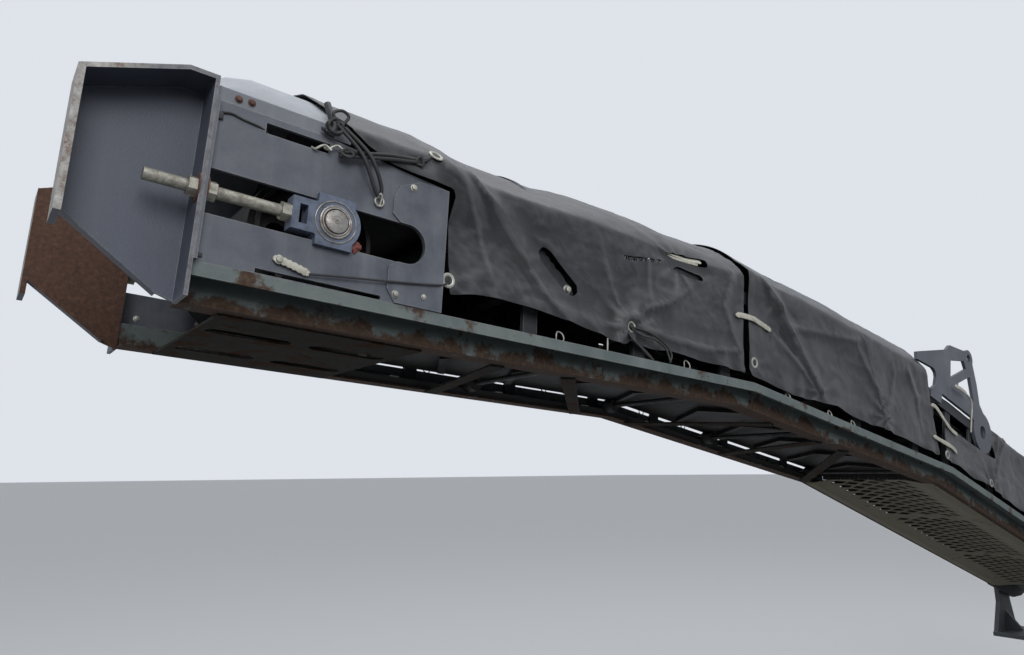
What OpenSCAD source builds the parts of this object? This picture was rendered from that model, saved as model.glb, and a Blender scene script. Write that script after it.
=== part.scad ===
// Discharge conveyor of a cold planer: a bent steel boom with a cleated belt,
// an arched cover, a take-up head, a discharge hood and a slewing root.
// Millimetres. +X points to the discharge head, +Y to the machine's left, +Z up.
// The origin is the centre of the bolting face at the machine's front.

/* [Boom line] */
// Slope of the head section, degrees above level
slope_head = 3.7; // [0:0.1:8]
// Slope of the middle section, degrees above level
slope_mid = 11; // [9:0.1:14]
// Slope of the root section, degrees above level
slope_root = 18; // [15:0.1:21]
// Length of the head section, from its bend to the hood flange
len_head = 1694; // [1650:1:2000]
// Length of the middle section between the two bends
len_mid = 1386; // [1300:1:1700]
// Length of the root section, from the tail drum to its bend
len_root = 2600; // [2550:1:3000]

/* [Frame] */
// Gap between the belt's edge and the outer face of a rail's web
side_gap = 45; // [38:1:65]
// How far the lip of a lower rail stands out past its web
lip_out = 60; // [50:1:75]
// Height of the lip of a lower rail
lip_h = 27; // [20:1:34]
// Height of a lower rail
rail_h = 67; // [64:1:72]
// Thickness of rolled sections and sheet in the frame
sheet_t = 6; // [5:0.5:8]
// Height of the upper rails above the lower rails' top
upper_h = 324; // [315:1:345]
// Width of an upright post
post_w = 45; // [30:1:60]

/* [Belt and drums] */
// Width of the belt
belt_w = 540; // [480:1:550]
// Thickness of the belt's carcass
belt_t = 12; // [8:1:14]
// Height of the cleats on the belt
cleat_h = 15; // [8:1:16]
// Distance from one cleat to the next
cleat_pitch = 260; // [200:1:400]
// Radius of the head and tail drums
drum_r = 130; // [124:1:134]
// Diameter of both drum shafts
shaft_d = 50; // [45:1:55]
// Height of the drums' axes above the lower rails' top
axis_w = 139; // [137:1:142]
// Radius of the rollers
roller_r = 25; // [20:1:28]

/* [Head] */
// Distance of the head drum's axis behind the hood flange
head_back = 258; // [240:1:300]
// Thickness of the head's side plates
plate_t = 8; // [6:1:10]
// Height of the take-up slot
slot_h = 90; // [88:1:96]
// Diameter of the take-up screws
screw_d = 24; // [20:1:27]
// How far the hood's plates stand out past the outer faces of the rails' webs
hood_step = 5; // [2:1:15]
// How far the head's flanges stand out past its side plates
flange_lip = 15; // [10:1:25]
// Height of the hood above the lower rails' top
hood_top = 364; // [355:1:380]

/* [Covers] */
// Height of the head cover's crown above the lower rails' top
crown_head = 545; // [535:1:580]
// Height of the middle cover's crown
crown_mid = 575; // [565:1:600]
// Height of the root cover's crown
crown_root = 470; // [450:1:490]
// Thickness of the tarpaulins
tarp_t = 5; // [3:0.5:8]
// Height of the tarpaulins' hems above the lower rails' top
hem_w = 45; // [20:1:80]

/* [Root] */
// Distance of the king pin from the bolting face
king_x = 520; // [515:1:600]
// Diameter of the king pin
king_d = 60; // [50:1:70]
// Height of the lift pins above the king pin's middle
lift_z = 430; // [425:1:480]
// Diameter of the lift pins
lift_d = 50; // [40:1:56]
// Distance of the lift pins ahead of the tail drum's axis
lift_u = 150; // [145:1:180]
// Height of the lift pins above the lower rails' top
lift_w = 60; // [50:1:70]

/* [Hidden] */
$fn = 64;

// Running clearance of pins and shafts, and the seat clearance of other fits
run_gap = 0.05;
seat_gap = 0.3;

// Boom line. Section 0 is the root, 1 the middle and 2 the head. In a section, u runs
// toward the head from the section's lower end and w runs up from the rails' top.
slopes = [slope_root, slope_mid, slope_head];
lengths = [len_root, len_mid, len_head];
function dir(a) = [cos(a), sin(a)];
function nrm(a) = [-sin(a), cos(a)];
start_0 = [king_x, lift_z] - lift_u * dir(slopes[0]) - lift_w * nrm(slopes[0]);
start_1 = start_0 + lengths[0] * dir(slopes[0]);
start_2 = start_1 + lengths[1] * dir(slopes[1]);
starts = [start_0, start_1, start_2];
function at(s, u, w) = starts[s] + u * dir(slopes[s]) + w * nrm(slopes[s]);
// Half of the bend between a section and the one before it
function half_bend(s) = (slopes[s - 1] - slopes[s]) / 2;
// Point at height w on the mitre line of the bend at the start of section s
function bend(s, w) = starts[s] + w / cos(half_bend(s)) * nrm(slopes[s] + half_bend(s));
function reversed(list) = [for (i = [len(list) - 1 : -1 : 0]) list[i]];
function run_line(w, u_low, u_high) = [at(0, u_low, w), bend(1, w), bend(2, w), at(2, u_high, w)];

// Shared places
past_all = 3000;
half_w = belt_w / 2 + side_gap;
hose_d = 22;
rail_start = 430;
web_in = half_w - sheet_t;
lip_face = half_w + lip_out;
plate_in = lip_face - plate_t;
head_u = len_head - head_back;
belt_top_w = axis_w + drum_r;
return_top_w = axis_w - drum_r;
head_axis = at(2, head_u, axis_w);
tail_axis = at(0, 0, axis_w);
pivot = [king_x, lift_z];

module section(s) {
    translate([starts[s][0], 0, starts[s][1]]) rotate([0, -slopes[s], 0]) children();
}
module both_sides() {
    children();
    mirror([0, 1, 0]) children();
}
// A slab drawn as an outline in the XZ plane, between two values of Y
module slab(y_low, y_high) {
    translate([0, y_high, 0]) rotate([90, 0, 0]) linear_extrude(y_high - y_low) children();
}
// A strip that follows the whole boom between two heights, mitred at the bends
module strip(w_low, w_high, y_low, y_high, u_low = rail_start, u_high = len_head) {
    slab(y_low, y_high)
        polygon(concat(run_line(w_low, u_low, u_high), reversed(run_line(w_high, u_low, u_high))));
}
// An outline in the YZ plane, drawn along a section from one u to another
module across(u_low, u_high) {
    translate([u_low, 0, 0]) rotate([90, 0, 90]) linear_extrude(u_high - u_low) children();
}
// All that lies beyond the plane X = 0, on its side toward the head (1) or the root (-1)
module half_space(side) {
    translate([side > 0 ? 0 : -past_all, -past_all / 2, -past_all / 2]) cube(past_all);
}
// A rod along Y
module rod_y(r, y_low, y_high) {
    translate([0, y_high, 0]) rotate([90, 0, 0]) cylinder(r = r, h = y_high - y_low);
}
module at_axis(p) {
    translate([p[0], 0, p[1]]) children();
}
// An arched sheet's outline: it rises from w_low at half width to its crown
module arch(half, w_low, crown, t) {
    rise = crown - w_low;
    radius = (half * half + rise * rise) / (2 * rise);
    difference() {
        translate([0, crown - radius]) circle(r = radius, $fn = 720);
        translate([0, crown - radius]) circle(r = radius - t, $fn = 720);
        translate([-2 * radius, w_low - 4 * radius]) square([4 * radius, 4 * radius]);
    }
}

// Root: bracket on the machine, with the boss that takes the king pin
bracket_t = 25;
bracket_w = 440;
bracket_h = 280;
bracket_root_half = 190;
ear_t = 20;
boss_r = 70;
yoke_fork = 60;
boss_half = yoke_fork - seat_gap;
bolt_dy = 340;
bolt_dz = 200;
bolt_r = 11;
gusset_y = 150;
module slew_bracket() {
    color("#3d4046") difference() {
        union() {
            translate([0, -bracket_w / 2, -bracket_h / 2]) cube([bracket_t, bracket_w, bracket_h]);
            translate([king_x, 0, -boss_half]) cylinder(r = boss_r, h = 2 * boss_half);
            for (z = [-boss_half, boss_half - ear_t])
                translate([0, 0, z]) linear_extrude(ear_t)
                    polygon([[bracket_t, -bracket_root_half], [king_x, -boss_r], [king_x, boss_r],
                        [bracket_t, bracket_root_half]]);
            translate([bracket_t, -ear_t / 2, -boss_half]) cube([king_x - bracket_t, ear_t, 2 * boss_half]);
            both_sides() slab(gusset_y - ear_t / 2, gusset_y + ear_t / 2)
                polygon([[bracket_t, -bracket_h / 2 + 15], [bracket_t, -boss_half + 1], [150, -boss_half + 1]]);
        }
        translate([king_x, 0, -boss_half - 1])
            cylinder(r = king_d / 2 + run_gap, h = 2 * boss_half + 2);
        for (y = [-bolt_dy / 2, bolt_dy / 2], z = [-bolt_dz / 2, bolt_dz / 2])
            translate([-1, y, z]) rotate([0, 90, 0]) cylinder(r = bolt_r, h = bracket_t + 2);
    }
}

// Root: yoke that slews on the king pin and carries the boom's lift pins
tail_y = half_w + 12;
tail_boss = 16;
yoke_plate_t = 25;
yoke_arm_t = 25;
yoke_in = tail_y + tail_boss + 7;
yoke_out = yoke_in + yoke_arm_t;
yoke_arm_half = 85;
yoke_back = 150;
yoke_front = 190;
lug_x = 70;
lug_y = 190;
lug_bore_r = 15;
lug_r = 42;
module yoke_arm() {
    slab(yoke_in, yoke_out) difference() {
        union() {
            translate(pivot) circle(r = yoke_arm_half);
            translate([king_x - yoke_arm_half, yoke_fork]) square([2 * yoke_arm_half, lift_z - yoke_fork]);
            polygon([[king_x - yoke_back, yoke_fork], [king_x + yoke_front, yoke_fork],
                [king_x + yoke_arm_half, yoke_fork + 200], [king_x - yoke_arm_half, yoke_fork + 200]]);
        }
        translate(pivot) circle(r = lift_d / 2 + run_gap);
    }
}
module slew_yoke() {
    color("#33363c") difference() {
        union() {
            both_sides() yoke_arm();
            translate([king_x - yoke_back, -yoke_out, yoke_fork])
                cube([yoke_back + yoke_front, 2 * yoke_out, yoke_plate_t]);
            translate([king_x + yoke_front - yoke_plate_t, -lug_y, -yoke_fork - yoke_plate_t])
                cube([yoke_plate_t, 2 * lug_y, 2 * yoke_fork + yoke_plate_t]);
            translate([king_x, 0, -yoke_fork - yoke_plate_t]) linear_extrude(yoke_plate_t) {
                circle(r = 90);
                for (side = [-1, 1])
                    translate([lug_x, side * lug_y]) circle(r = lug_r);
                polygon([[0, -90], [lug_x, -lug_y - lug_r], [yoke_front, -lug_y], [yoke_front, lug_y],
                    [lug_x, lug_y + lug_r], [0, 90]]);
            }
            both_sides() translate([king_x - 10, 0, 0]) rotate([90, 0, 90]) linear_extrude(20)
                polygon([[yoke_in - 90, yoke_fork + yoke_plate_t - 1],
                    [yoke_in + 1, yoke_fork + yoke_plate_t - 1], [yoke_in + 1, 200]]);
        }
        translate([king_x, 0, -2 * yoke_fork]) cylinder(r = king_d / 2 + run_gap, h = 4 * yoke_fork);
        for (side = [-1, 1])
            translate([king_x + lug_x, side * lug_y, -2 * yoke_fork])
                cylinder(r = lug_bore_r, h = yoke_fork + 10);
    }
}
pin_head = 14;
module king_pin() {
    color("#8b8d90") translate([king_x, 0, -yoke_fork - yoke_plate_t - pin_head]) {
        cylinder(r = king_d / 2, h = 2 * (yoke_fork + yoke_plate_t + pin_head));
        translate([0, 0, 2 * (yoke_fork + yoke_plate_t) + pin_head])
            cylinder(r = king_d / 2 + pin_head, h = pin_head);
    }
}
module lift_pins() {
    color("#8b8d90") at_axis(pivot) both_sides() {
        rod_y(lift_d / 2, web_in - 4, yoke_out + 6);
        rod_y(lift_d / 2 + pin_head, yoke_out, yoke_out + 12);
    }
}

// Boom frame
// One side's strip of a rolled section. It runs past the rail's ends by its height and 20
// more, so that no two strips of a rail end alike, and cut_ends then cuts them all square.
module side_strip(side, w_low, w_high, y_in, y_out, u_end = len_head) {
    past = w_high - w_low + 20;
    strip(w_low, w_high, side > 0 ? y_in : -y_out, side > 0 ? y_out : -y_in, rail_start - past, u_end + past);
}
module cut_ends(u_end = len_head) {
    difference() {
        union() children();
        section(0) translate([rail_start, 0, 0]) half_space(-1);
        section(2) translate([u_end, 0, 0]) half_space(1);
    }
}
// Slots through the webs of the lower rails, each with its section and its place along it
web_slots = [[2, 617], [1, len_mid - 52], [1, len_mid / 2]];
web_slot_len = 26;
web_slot_h = 14;
module lower_rail(side) {
    difference() {
        cut_ends() {
            side_strip(side, -sheet_t, 0, web_in, lip_face);
            side_strip(side, -lip_h, 0, lip_face - sheet_t, lip_face);
            side_strip(side, -rail_h, 0, web_in, half_w);
            side_strip(side, -rail_h, -rail_h + sheet_t, half_w - lip_out, half_w);
        }
        for (p = web_slots)
            section(p[0]) translate([p[1], side * (half_w - sheet_t / 2), -rail_h / 2 - 7])
                cube([web_slot_len, 4 * sheet_t, web_slot_h], center = true);
    }
}
module lower_rail_left() color("#5d6360") lower_rail(1);
module lower_rail_right() color("#5d6360") lower_rail(-1);

plate_low_u = head_u - 269;
upper_end = plate_low_u - 1;
upper_leg = 40;
module upper_rail(side) {
    cut_ends(upper_end) {
        side_strip(side, upper_h - upper_leg, upper_h, web_in, half_w, upper_end);
        side_strip(side, upper_h - sheet_t, upper_h, web_in - 34, half_w, upper_end);
    }
}
module upper_rail_left() color("#4b4f55") upper_rail(1);
module upper_rail_right() color("#4b4f55") upper_rail(-1);

// Places of the uprights along each section, spread evenly between its first and its last
first_u = [700, 180, 60];
last_u = [len_root - 550, len_mid - 286, plate_low_u - 307];
bays = [3, 2, 2];
function bay(s, i) = first_u[s] + i * (last_u[s] - first_u[s]) / bays[s];
// Posts, each with its section and its place along it
posts = [for (s = [0 : 2], i = [0 : bays[s]]) [s, bay(s, i)], [0, len_root - 100]];
post_foot = -36;
module post_row() {
    for (p = posts)
        section(p[0]) translate([p[1] - post_w / 2, web_in - 2 * sheet_t, post_foot])
            cube([post_w, 2 * sheet_t, upper_h - sheet_t - post_foot]);
}
module posts_left() color("#4b4f55") post_row();
module posts_right() color("#4b4f55") mirror([0, 1, 0]) post_row();

// Flat braces under the lower flanges, each with its section, its right end and its left end
braces = [[2, 794, 933], [2, 166, 707], [1, 1290, 1130], [1, 686, 851], [1, 40, 694]];
brace_w = 40;
brace_half = half_w - lip_out / 2;
module cross_braces() {
    color("#6a4f40") for (b = braces) {
        run = b[2] - b[1];
        reach = norm([2 * brace_half, run]);
        section(b[0]) translate([b[1], -brace_half, -rail_h - seat_gap - sheet_t])
            rotate([0, 0, atan2(2 * brace_half, run)])
                translate([15, -brace_w / 2, 0]) cube([reach - 30, brace_w, sheet_t]);
    }
}

// Carrying idlers, each with its section and its place along it
idlers = [[0, 500], for (i = [0 : 3]) [0, bay(0, i + 0.5)], [1, 20], [1, bay(1, 0.5)], [1, bay(1, 1.5)],
    [2, 16], [2, bay(2, 0.5)], [2, bay(2, 1.5)], [2, bay(2, 2.5)]];
idler_w = belt_top_w - seat_gap - roller_r;
spindle_r = 8;
idler_bracket_t = 8;
module carry_idlers() {
    color("#3a3c3f") for (p = idlers)
        section(p[0]) translate([p[1], 0, idler_w]) {
            rod_y(roller_r, -belt_w / 2 - 5, belt_w / 2 + 5);
            rod_y(spindle_r, -web_in + 1, web_in - 1);
        }
}
// Flat hangers on the upper rails, one at each end of a carrying idler
module idler_brackets() {
    color("#4b4f55") for (p = idlers)
        section(p[0]) translate([p[1], 0, 0]) both_sides() difference() {
            translate([-15, web_in - idler_bracket_t, idler_w - 20])
                cube([30, idler_bracket_t, upper_h - sheet_t - idler_w + 20]);
            translate([0, 0, idler_w]) rod_y(spindle_r + run_gap, web_in - 2 * idler_bracket_t, web_in + 1);
        }
}

// Return rollers: short rollers under the belt's edges, clear of its cleats
returns = [[0, bay(0, 0.5)], [0, bay(0, 2.5)], [1, 50], [1, bay(1, 1.4)], [2, 24], [2, bay(2, 1.5)]];
return_w = return_top_w - belt_t - seat_gap - roller_r;
edge_clear = 62;
cleat_half = belt_w / 2 - edge_clear;
hose_bay = 2 * hose_d + 3;
module return_rollers() {
    color("#3a3c3f") for (p = returns)
        section(p[0]) translate([p[1], 0, return_w]) {
            rod_y(spindle_r, -web_in + seat_gap, web_in - seat_gap);
            both_sides() rod_y(roller_r, cleat_half + 8, web_in - hose_bay);
        }
}

// Belt: one loop round both drums, with cleats in a shallow V
function round_head(r) = [for (a = [90 : -3.75 : -90]) at(2, head_u + r * cos(a), axis_w + r * sin(a))];
function round_tail(r) = [for (a = [270 : -3.75 : 90]) at(0, r * cos(a), axis_w + r * sin(a))];
// The closed line that lies a distance r off the drums' axes, all round the belt
function loop(r) = concat(round_tail(r), [bend(1, axis_w + r), bend(2, axis_w + r)], round_head(r),
    [bend(2, axis_w - r), bend(1, axis_w - r)]);
cleat_leg = 25;
cleat_sweep = 120;
module cleat() {
    linear_extrude(cleat_h + 1)
        polygon([[0, 0], [-cleat_sweep, -cleat_half], [-cleat_sweep + cleat_leg, -cleat_half], [cleat_leg, 0],
            [-cleat_sweep + cleat_leg, cleat_half], [-cleat_sweep, cleat_half]]);
}
cleat_first = cleat_sweep + 10;
module belt() {
    color("#1d1d1f") {
        slab(-belt_w / 2, belt_w / 2) difference() {
            polygon(loop(drum_r + belt_t));
            polygon(loop(drum_r + seat_gap));
        }
        for (s = [0 : 2])
            section(s) for (u = [cleat_first : cleat_pitch : (s == 2 ? head_u : lengths[s]) - 40]) {
                translate([u, 0, belt_top_w + belt_t - 1]) cleat();
                translate([u, 0, return_top_w - belt_t - cleat_h]) cleat();
            }
    }
}

// Drums: a tube with a pierced disc near each end and a shaft through both
drum_half = belt_w / 2 + 12;
drum_wall = 10;
disc_in = 30;
module drum(axis) {
    at_axis(axis) difference() {
        rod_y(drum_r, -drum_half, drum_half);
        both_sides() difference() {
            rod_y(drum_r - drum_wall, drum_half - disc_in, drum_half + 1);
            rod_y(shaft_d / 2 + 15, drum_half - disc_in - 1, drum_half + 2);
        }
        difference() {
            rod_y(drum_r - drum_wall, -drum_half + disc_in + drum_wall, drum_half - disc_in - drum_wall);
            rod_y(shaft_d / 2 + 15, -drum_half, drum_half);
        }
        rod_y(shaft_d / 2 + run_gap, -drum_half - 1, drum_half + 1);
        for (a = [0 : 60 : 300])
            rotate([0, a, 0]) translate([78, 0, 0]) rod_y(22, -drum_half, drum_half);
    }
}
module head_drum() color("#2a2b2d") drum(head_axis);
module tail_drum() color("#2a2b2d") drum(tail_axis);
head_shaft_right = lip_face + 50;
module head_shaft() {
    color("#8b8d90") at_axis(head_axis) rod_y(shaft_d / 2, -head_shaft_right, lip_face + housing_out + 4);
}
module tail_shaft() {
    color("#8b8d90") at_axis(tail_axis) rod_y(shaft_d / 2, -tail_y - tail_boss, tail_y + tail_boss);
}

// Head: side plates with the take-up slot, a closing web behind and a flange in front
slot_end_u = head_u - 217;
slot_low = axis_w - slot_h / 2;
hood_half = half_w - hood_step;
flange_out = lip_face + flange_lip;
module take_up_slot() {
    translate([slot_end_u + slot_h / 2, axis_w]) circle(d = slot_h);
    translate([slot_end_u + slot_h / 2, slot_low]) square([len_head, slot_h]);
}
module screw_hole(u) {
    translate([u - 1, (plate_in + lip_face) / 2, axis_w]) rotate([0, 90, 0])
        cylinder(r = screw_d / 2 + 1, h = plate_t + 2);
}
module head_plate() {
    section(2) {
        slab(plate_in, lip_face) difference() {
            polygon([[plate_low_u, seat_gap], [plate_low_u, upper_h - 30], [plate_low_u + 300, upper_h],
                [len_head, upper_h], [len_head, seat_gap]]);
            take_up_slot();
            translate([head_u + 24, upper_h - 36]) square([134, 22]);
            translate([head_u - 120, 2]) square([265, 9]);
        }
        translate([plate_low_u, web_in, seat_gap])
            cube([sheet_t, plate_in - web_in + 1, upper_h - 30 - seat_gap]);
        difference() {
            translate([len_head - sheet_t, plate_in, seat_gap])
                cube([sheet_t, flange_out - plate_in, upper_h - seat_gap]);
            screw_hole(len_head - sheet_t);
        }
    }
}
module head_plate_left() color("#4f515b") head_plate();
module head_plate_right() color("#4f515b") mirror([0, 1, 0]) head_plate();

end_plate_t = 4;
module slot_end_plates() {
    color("#4f515b") section(2) both_sides() slab(lip_face, lip_face + end_plate_t) difference() {
        polygon([[plate_low_u, 2], [plate_low_u, 292], [plate_low_u + 75, 292], [plate_low_u + 125, 268],
            [plate_low_u + 138, 240], [plate_low_u + 138, 200], [plate_low_u + 118, 184],
            [plate_low_u + 118, 94], [plate_low_u + 138, 80], [plate_low_u + 138, 30],
            [plate_low_u + 118, 2]]);
        take_up_slot();
    }
}

// Hood: outline in the head section, from the flange at the plates to the front. Its front
// flange runs down past the outline, to its own foot.
hood_u = len_head + seat_gap;
hood_low = -70;
hood = [[hood_u, hood_low], [hood_u + 38, hood_low + 13], [hood_u + 212, 62], [hood_u + 224, hood_top - 67],
    [hood_u + 55, hood_top], [hood_u, hood_top]];
hood_foot = [hood_u + 221, 31];
hood_front_t = 11;
hood_lip = 20;
// A flange along the line from a to b, between two values of Y. It stands proud of the line
// by hood_proud and reaches t inside it.
hood_proud = 1;
module hood_edge(a, b, t, y_low, y_high) {
    delta = b - a;
    slab(y_low, y_high) translate(a) rotate(atan2(delta[1], delta[0]))
        translate([0, -hood_proud]) square([norm(delta), t + hood_proud]);
}
module hood_side() {
    section(2) difference() {
        union() {
            slab(hood_half - plate_t, hood_half) polygon(hood);
            slab(hood_half - 1, flange_out)
                translate([hood_u, hood_low]) square([plate_t, hood_top - hood_low]);
            hood_edge(hood_foot, hood[3] + [2, 0], hood_front_t, hood_half - plate_t, flange_out);
            for (i = [3, 4])
                hood_edge(hood[i], hood[i + 1], plate_t, hood_half - 1, flange_out);
            hood_edge(hood[1], hood[2], plate_t, hood_half - plate_t - hood_lip, hood_half - 1);
        }
        screw_hole(hood_u);
    }
}
module hood_left() color("#4a4c56") hood_side();
module hood_right() color("#4a4c56") mirror([0, 1, 0]) hood_side();

// Arched sheet over the head whose crown falls toward the hood, with a strip at each side
// that stands on the side plates. A row of the table is a place ahead of the rear edge and
// how far the crown has fallen there.
cover_strip = 27;
cover_t = 3;
cover_back = head_u - 20;
cover_front = len_head - seat_gap;
cover_w = upper_h + cover_strip;
cover_crown = crown_head - 15;
cover_fall = 56;
cover_line = [[cover_back, 0], [cover_front - 94, 0], [cover_front - 44, cover_fall / 3],
    [cover_front, cover_fall]];
module cover_outline(half, w_low, crown) {
    rise = crown - cover_w;
    radius = (half * half + rise * rise) / (2 * rise);
    intersection() {
        translate([0, crown - radius]) circle(r = radius, $fn = 160);
        translate([-half, w_low]) square([2 * half, past_all]);
    }
}
module cover_dome(past, shrink) {
    hull() for (i = [0 : 3]) {
        u = cover_line[i][0] + (i == 0 ? -past : i == 3 ? past : 0);
        across(u - 0.05, u + 0.05)
            cover_outline(lip_face - shrink, cover_w - past, cover_crown - cover_line[i][1] - shrink);
    }
}
module head_cover() {
    color("#b9bdc0") section(2) {
        difference() {
            cover_dome(0, 0);
            cover_dome(1, cover_t);
        }
        both_sides() translate([cover_back, lip_face - cover_t, upper_h + seat_gap])
            cube([cover_front - cover_back, cover_t, cover_strip + 2]);
    }
}

// Pan under the head drum, with oblong holes for what falls off the belt
pan_t = 5;
pan_low_u = plate_low_u - 10;
pan_high_u = len_head - 80;
pan_hole = [190, 48];
module oblong(size) {
    for (side = [-1, 1])
        translate([side * (size[0] - size[1]) / 2, 0]) circle(d = size[1]);
    square([size[0] - size[1], size[1]], center = true);
}
module head_pan() {
    color("#3a3836") section(2) translate([0, 0, -rail_h - seat_gap - pan_t]) linear_extrude(pan_t)
        difference() {
            translate([pan_low_u, -half_w + lip_out / 2])
                square([pan_high_u - pan_low_u, 2 * half_w - lip_out]);
            for (y = [-130, 130], du = [-115, 115])
                translate([(pan_low_u + pan_high_u) / 2 + du, y]) oblong(pan_hole);
        }
}

// Take-up bearings, their screws and the drive
housing_h = 110;
housing_out = 13;
housing_len = 92;
groove_h = slot_h - 2 * seat_gap;
module takeup_bearing() {
    section(2) difference() {
        slab(plate_in - housing_out, lip_face + housing_out) {
            translate([head_u, axis_w]) circle(d = housing_h);
            translate([head_u, axis_w - 34]) square([housing_len, 68]);
            translate([head_u - 40, axis_w - housing_h / 2]) square([80, housing_h]);
        }
        slab(plate_in - seat_gap, lip_face + seat_gap) {
            translate([head_u - 90, axis_w + groove_h / 2]) square([200, 60]);
            translate([head_u - 90, axis_w - groove_h / 2 - 60]) square([200, 60]);
        }
        slab(plate_in - housing_out - 1, lip_face + housing_out + 1) {
            translate([head_u, axis_w]) circle(r = shaft_d / 2 + run_gap);
            translate([head_u + 60, axis_w - 20]) square([17, 40]);
        }
    }
}
module takeup_bearing_left() color("#5b6b8c") takeup_bearing();
module takeup_bearing_right() color("#5b6b8c") mirror([0, 1, 0]) takeup_bearing();

nut_w = 40;
nut_t = 18;
screw_end = len_head + 101;
module takeup_screws() {
    color("#a7a595") section(2) both_sides() translate([0, (plate_in + lip_face) / 2, axis_w]) {
        translate([head_u + housing_len, 0, 0]) rotate([0, 90, 0])
            cylinder(d = screw_d, h = screw_end - head_u - housing_len);
        for (u = [head_u + housing_len, len_head - sheet_t - nut_t, hood_u + plate_t])
            translate([u, 0, 0]) rotate([0, 90, 0]) cylinder(d = nut_w, h = nut_t, $fn = 6);
    }
}
motor_face = lip_face + housing_out + seat_gap;
module drive_motor() {
    color("#3b3d40") at_axis(head_axis) difference() {
        union() {
            translate([-65, -motor_face - 12, -65]) cube([130, 12, 130]);
            rod_y(62, -motor_face - 110, -motor_face);
            rod_y(42, -motor_face - 165, -motor_face);
        }
        rod_y(shaft_d / 2 + run_gap, -head_shaft_right - 1, -motor_face + 1);
    }
}

// Tail: side plates with the lift bores, bearings and the receiving hopper
bearing_r = 44;
tail_back = 175;
module tail_plate() {
    section(0) slab(web_in, tail_y) difference() {
        polygon([[-tail_back, 60], [-tail_back, upper_h], [rail_start, upper_h], [rail_start, -rail_h],
            [60, -rail_h], [-60, -30], [-140, 20]]);
        translate([0, axis_w]) circle(r = bearing_r + seat_gap);
        translate([lift_u, lift_w]) circle(r = lift_d / 2 + run_gap);
    }
}
module tail_plate_left() color("#4b4f55") tail_plate();
module tail_plate_right() color("#4b4f55") mirror([0, 1, 0]) tail_plate();
module tail_bearings() {
    color("#5b6b8c") at_axis(tail_axis) both_sides() difference() {
        union() {
            rod_y(bearing_r, web_in, tail_y + tail_boss);
            translate([-55, tail_y, -55]) cube([110, 10, 110]);
        }
        rod_y(shaft_d / 2 + run_gap, web_in - 1, tail_y + tail_boss + 1);
    }
}
hopper_h = 130;
hopper_back = 230;
hopper_wall = 8;
module receiving_hopper() {
    color("#4b4f55") section(0) {
        both_sides() slab(web_in, web_in + hopper_wall)
            polygon([[-tail_back, upper_h], [-hopper_back, upper_h + hopper_h],
                [rail_start + 130, upper_h + hopper_h], [rail_start, upper_h]]);
        translate([-hopper_back + 5, -web_in - 1, upper_h + hopper_h - 30])
            cube([hopper_wall, 2 * web_in + 2, 30]);
        across(-tail_back, -tail_back + hopper_wall)
            translate([-web_in - 1, upper_h + seat_gap]) square([2 * web_in + 2, hopper_h - seat_gap]);
    }
}

// Lift brackets: pierced plates on the upper rails, with an arm that reaches over the bend,
// a boss at the foot and an eye for the suspension. Places along them count from the bend.
eye_u = len_root - 262;
eye_w = 615;
lug_u = len_root - 419;
lug_w = upper_h - 23;
lug_bore = 64;
lug_boss_r = 96;
eye_boss_r = 42;
lift_plate_t = 14;
suspension_r = 20;
bracket = [[-64, 600], [-240, 640], [-290, 625], [-349, 516], [-381, 427], [-440, 385], [-480, 330],
    [-470, 250], [-400, 262], [-310, 336], [0, 336], [10, 285], [100, 285], [100, 322], [64, 352],
    [56, 395], [64, 414], [90, 424], [235, 405], [240, 438], [-35, 566]];
module lift_bracket() {
    section(0) slab(half_w, half_w + lift_plate_t) difference() {
        union() {
            translate([len_root, 0]) polygon(bracket);
            translate([lug_u, lug_w]) circle(r = lug_boss_r);
            translate([eye_u, eye_w]) circle(r = eye_boss_r);
        }
        translate([lug_u, lug_w]) circle(d = lug_bore);
        translate([eye_u, eye_w]) circle(r = suspension_r);
        translate([len_root, 0]) {
            polygon([[-76, 530], [-210, 582], [-236, 552], [-78, 443]]);
            polygon([[-275, 528], [-155, 447], [-160, 424], [-322, 420]]);
        }
    }
}
module lift_bracket_left() color("#4f5158") lift_bracket();
module lift_bracket_right() color("#4f5158") mirror([0, 1, 0]) lift_bracket();

// Arched guards of expanded mesh under the root section, each with its low and high end
guards = [[len_root - 640, len_root - 5], [len_root - 1400, len_root - 645], [440, len_root - 1405]];
guard_rise = 28;
guard_t = 4;
guard_half = half_w - lip_out - 1;
guard_frame = 16;
// The mesh: the distance between diamonds along the boom and across it, and its strand
mesh_u = 64;
mesh_y = 100;
strand = 11;
hole_u = mesh_u / 2 - strand / 2 * norm([1, mesh_u / mesh_y]);
hole_y = mesh_y / 2 - strand / 2 * norm([1, mesh_y / mesh_u]);
module mesh_holes(u_low, u_high) {
    rows = floor((u_high - u_low - 2 * (guard_frame + hole_u)) / (mesh_u / 2));
    first = (u_low + u_high - rows * mesh_u / 2) / 2;
    most = ceil(guard_half / mesh_y);
    for (i = [0 : rows], j = [-most : most]) {
        y = (j + i % 2 / 2) * mesh_y;
        if (abs(y) + hole_y + guard_frame < guard_half)
            translate([first + i * mesh_u / 2, y])
                polygon([[-hole_u, 0], [0, -hole_y], [hole_u, 0], [0, hole_y]]);
    }
}
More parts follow.
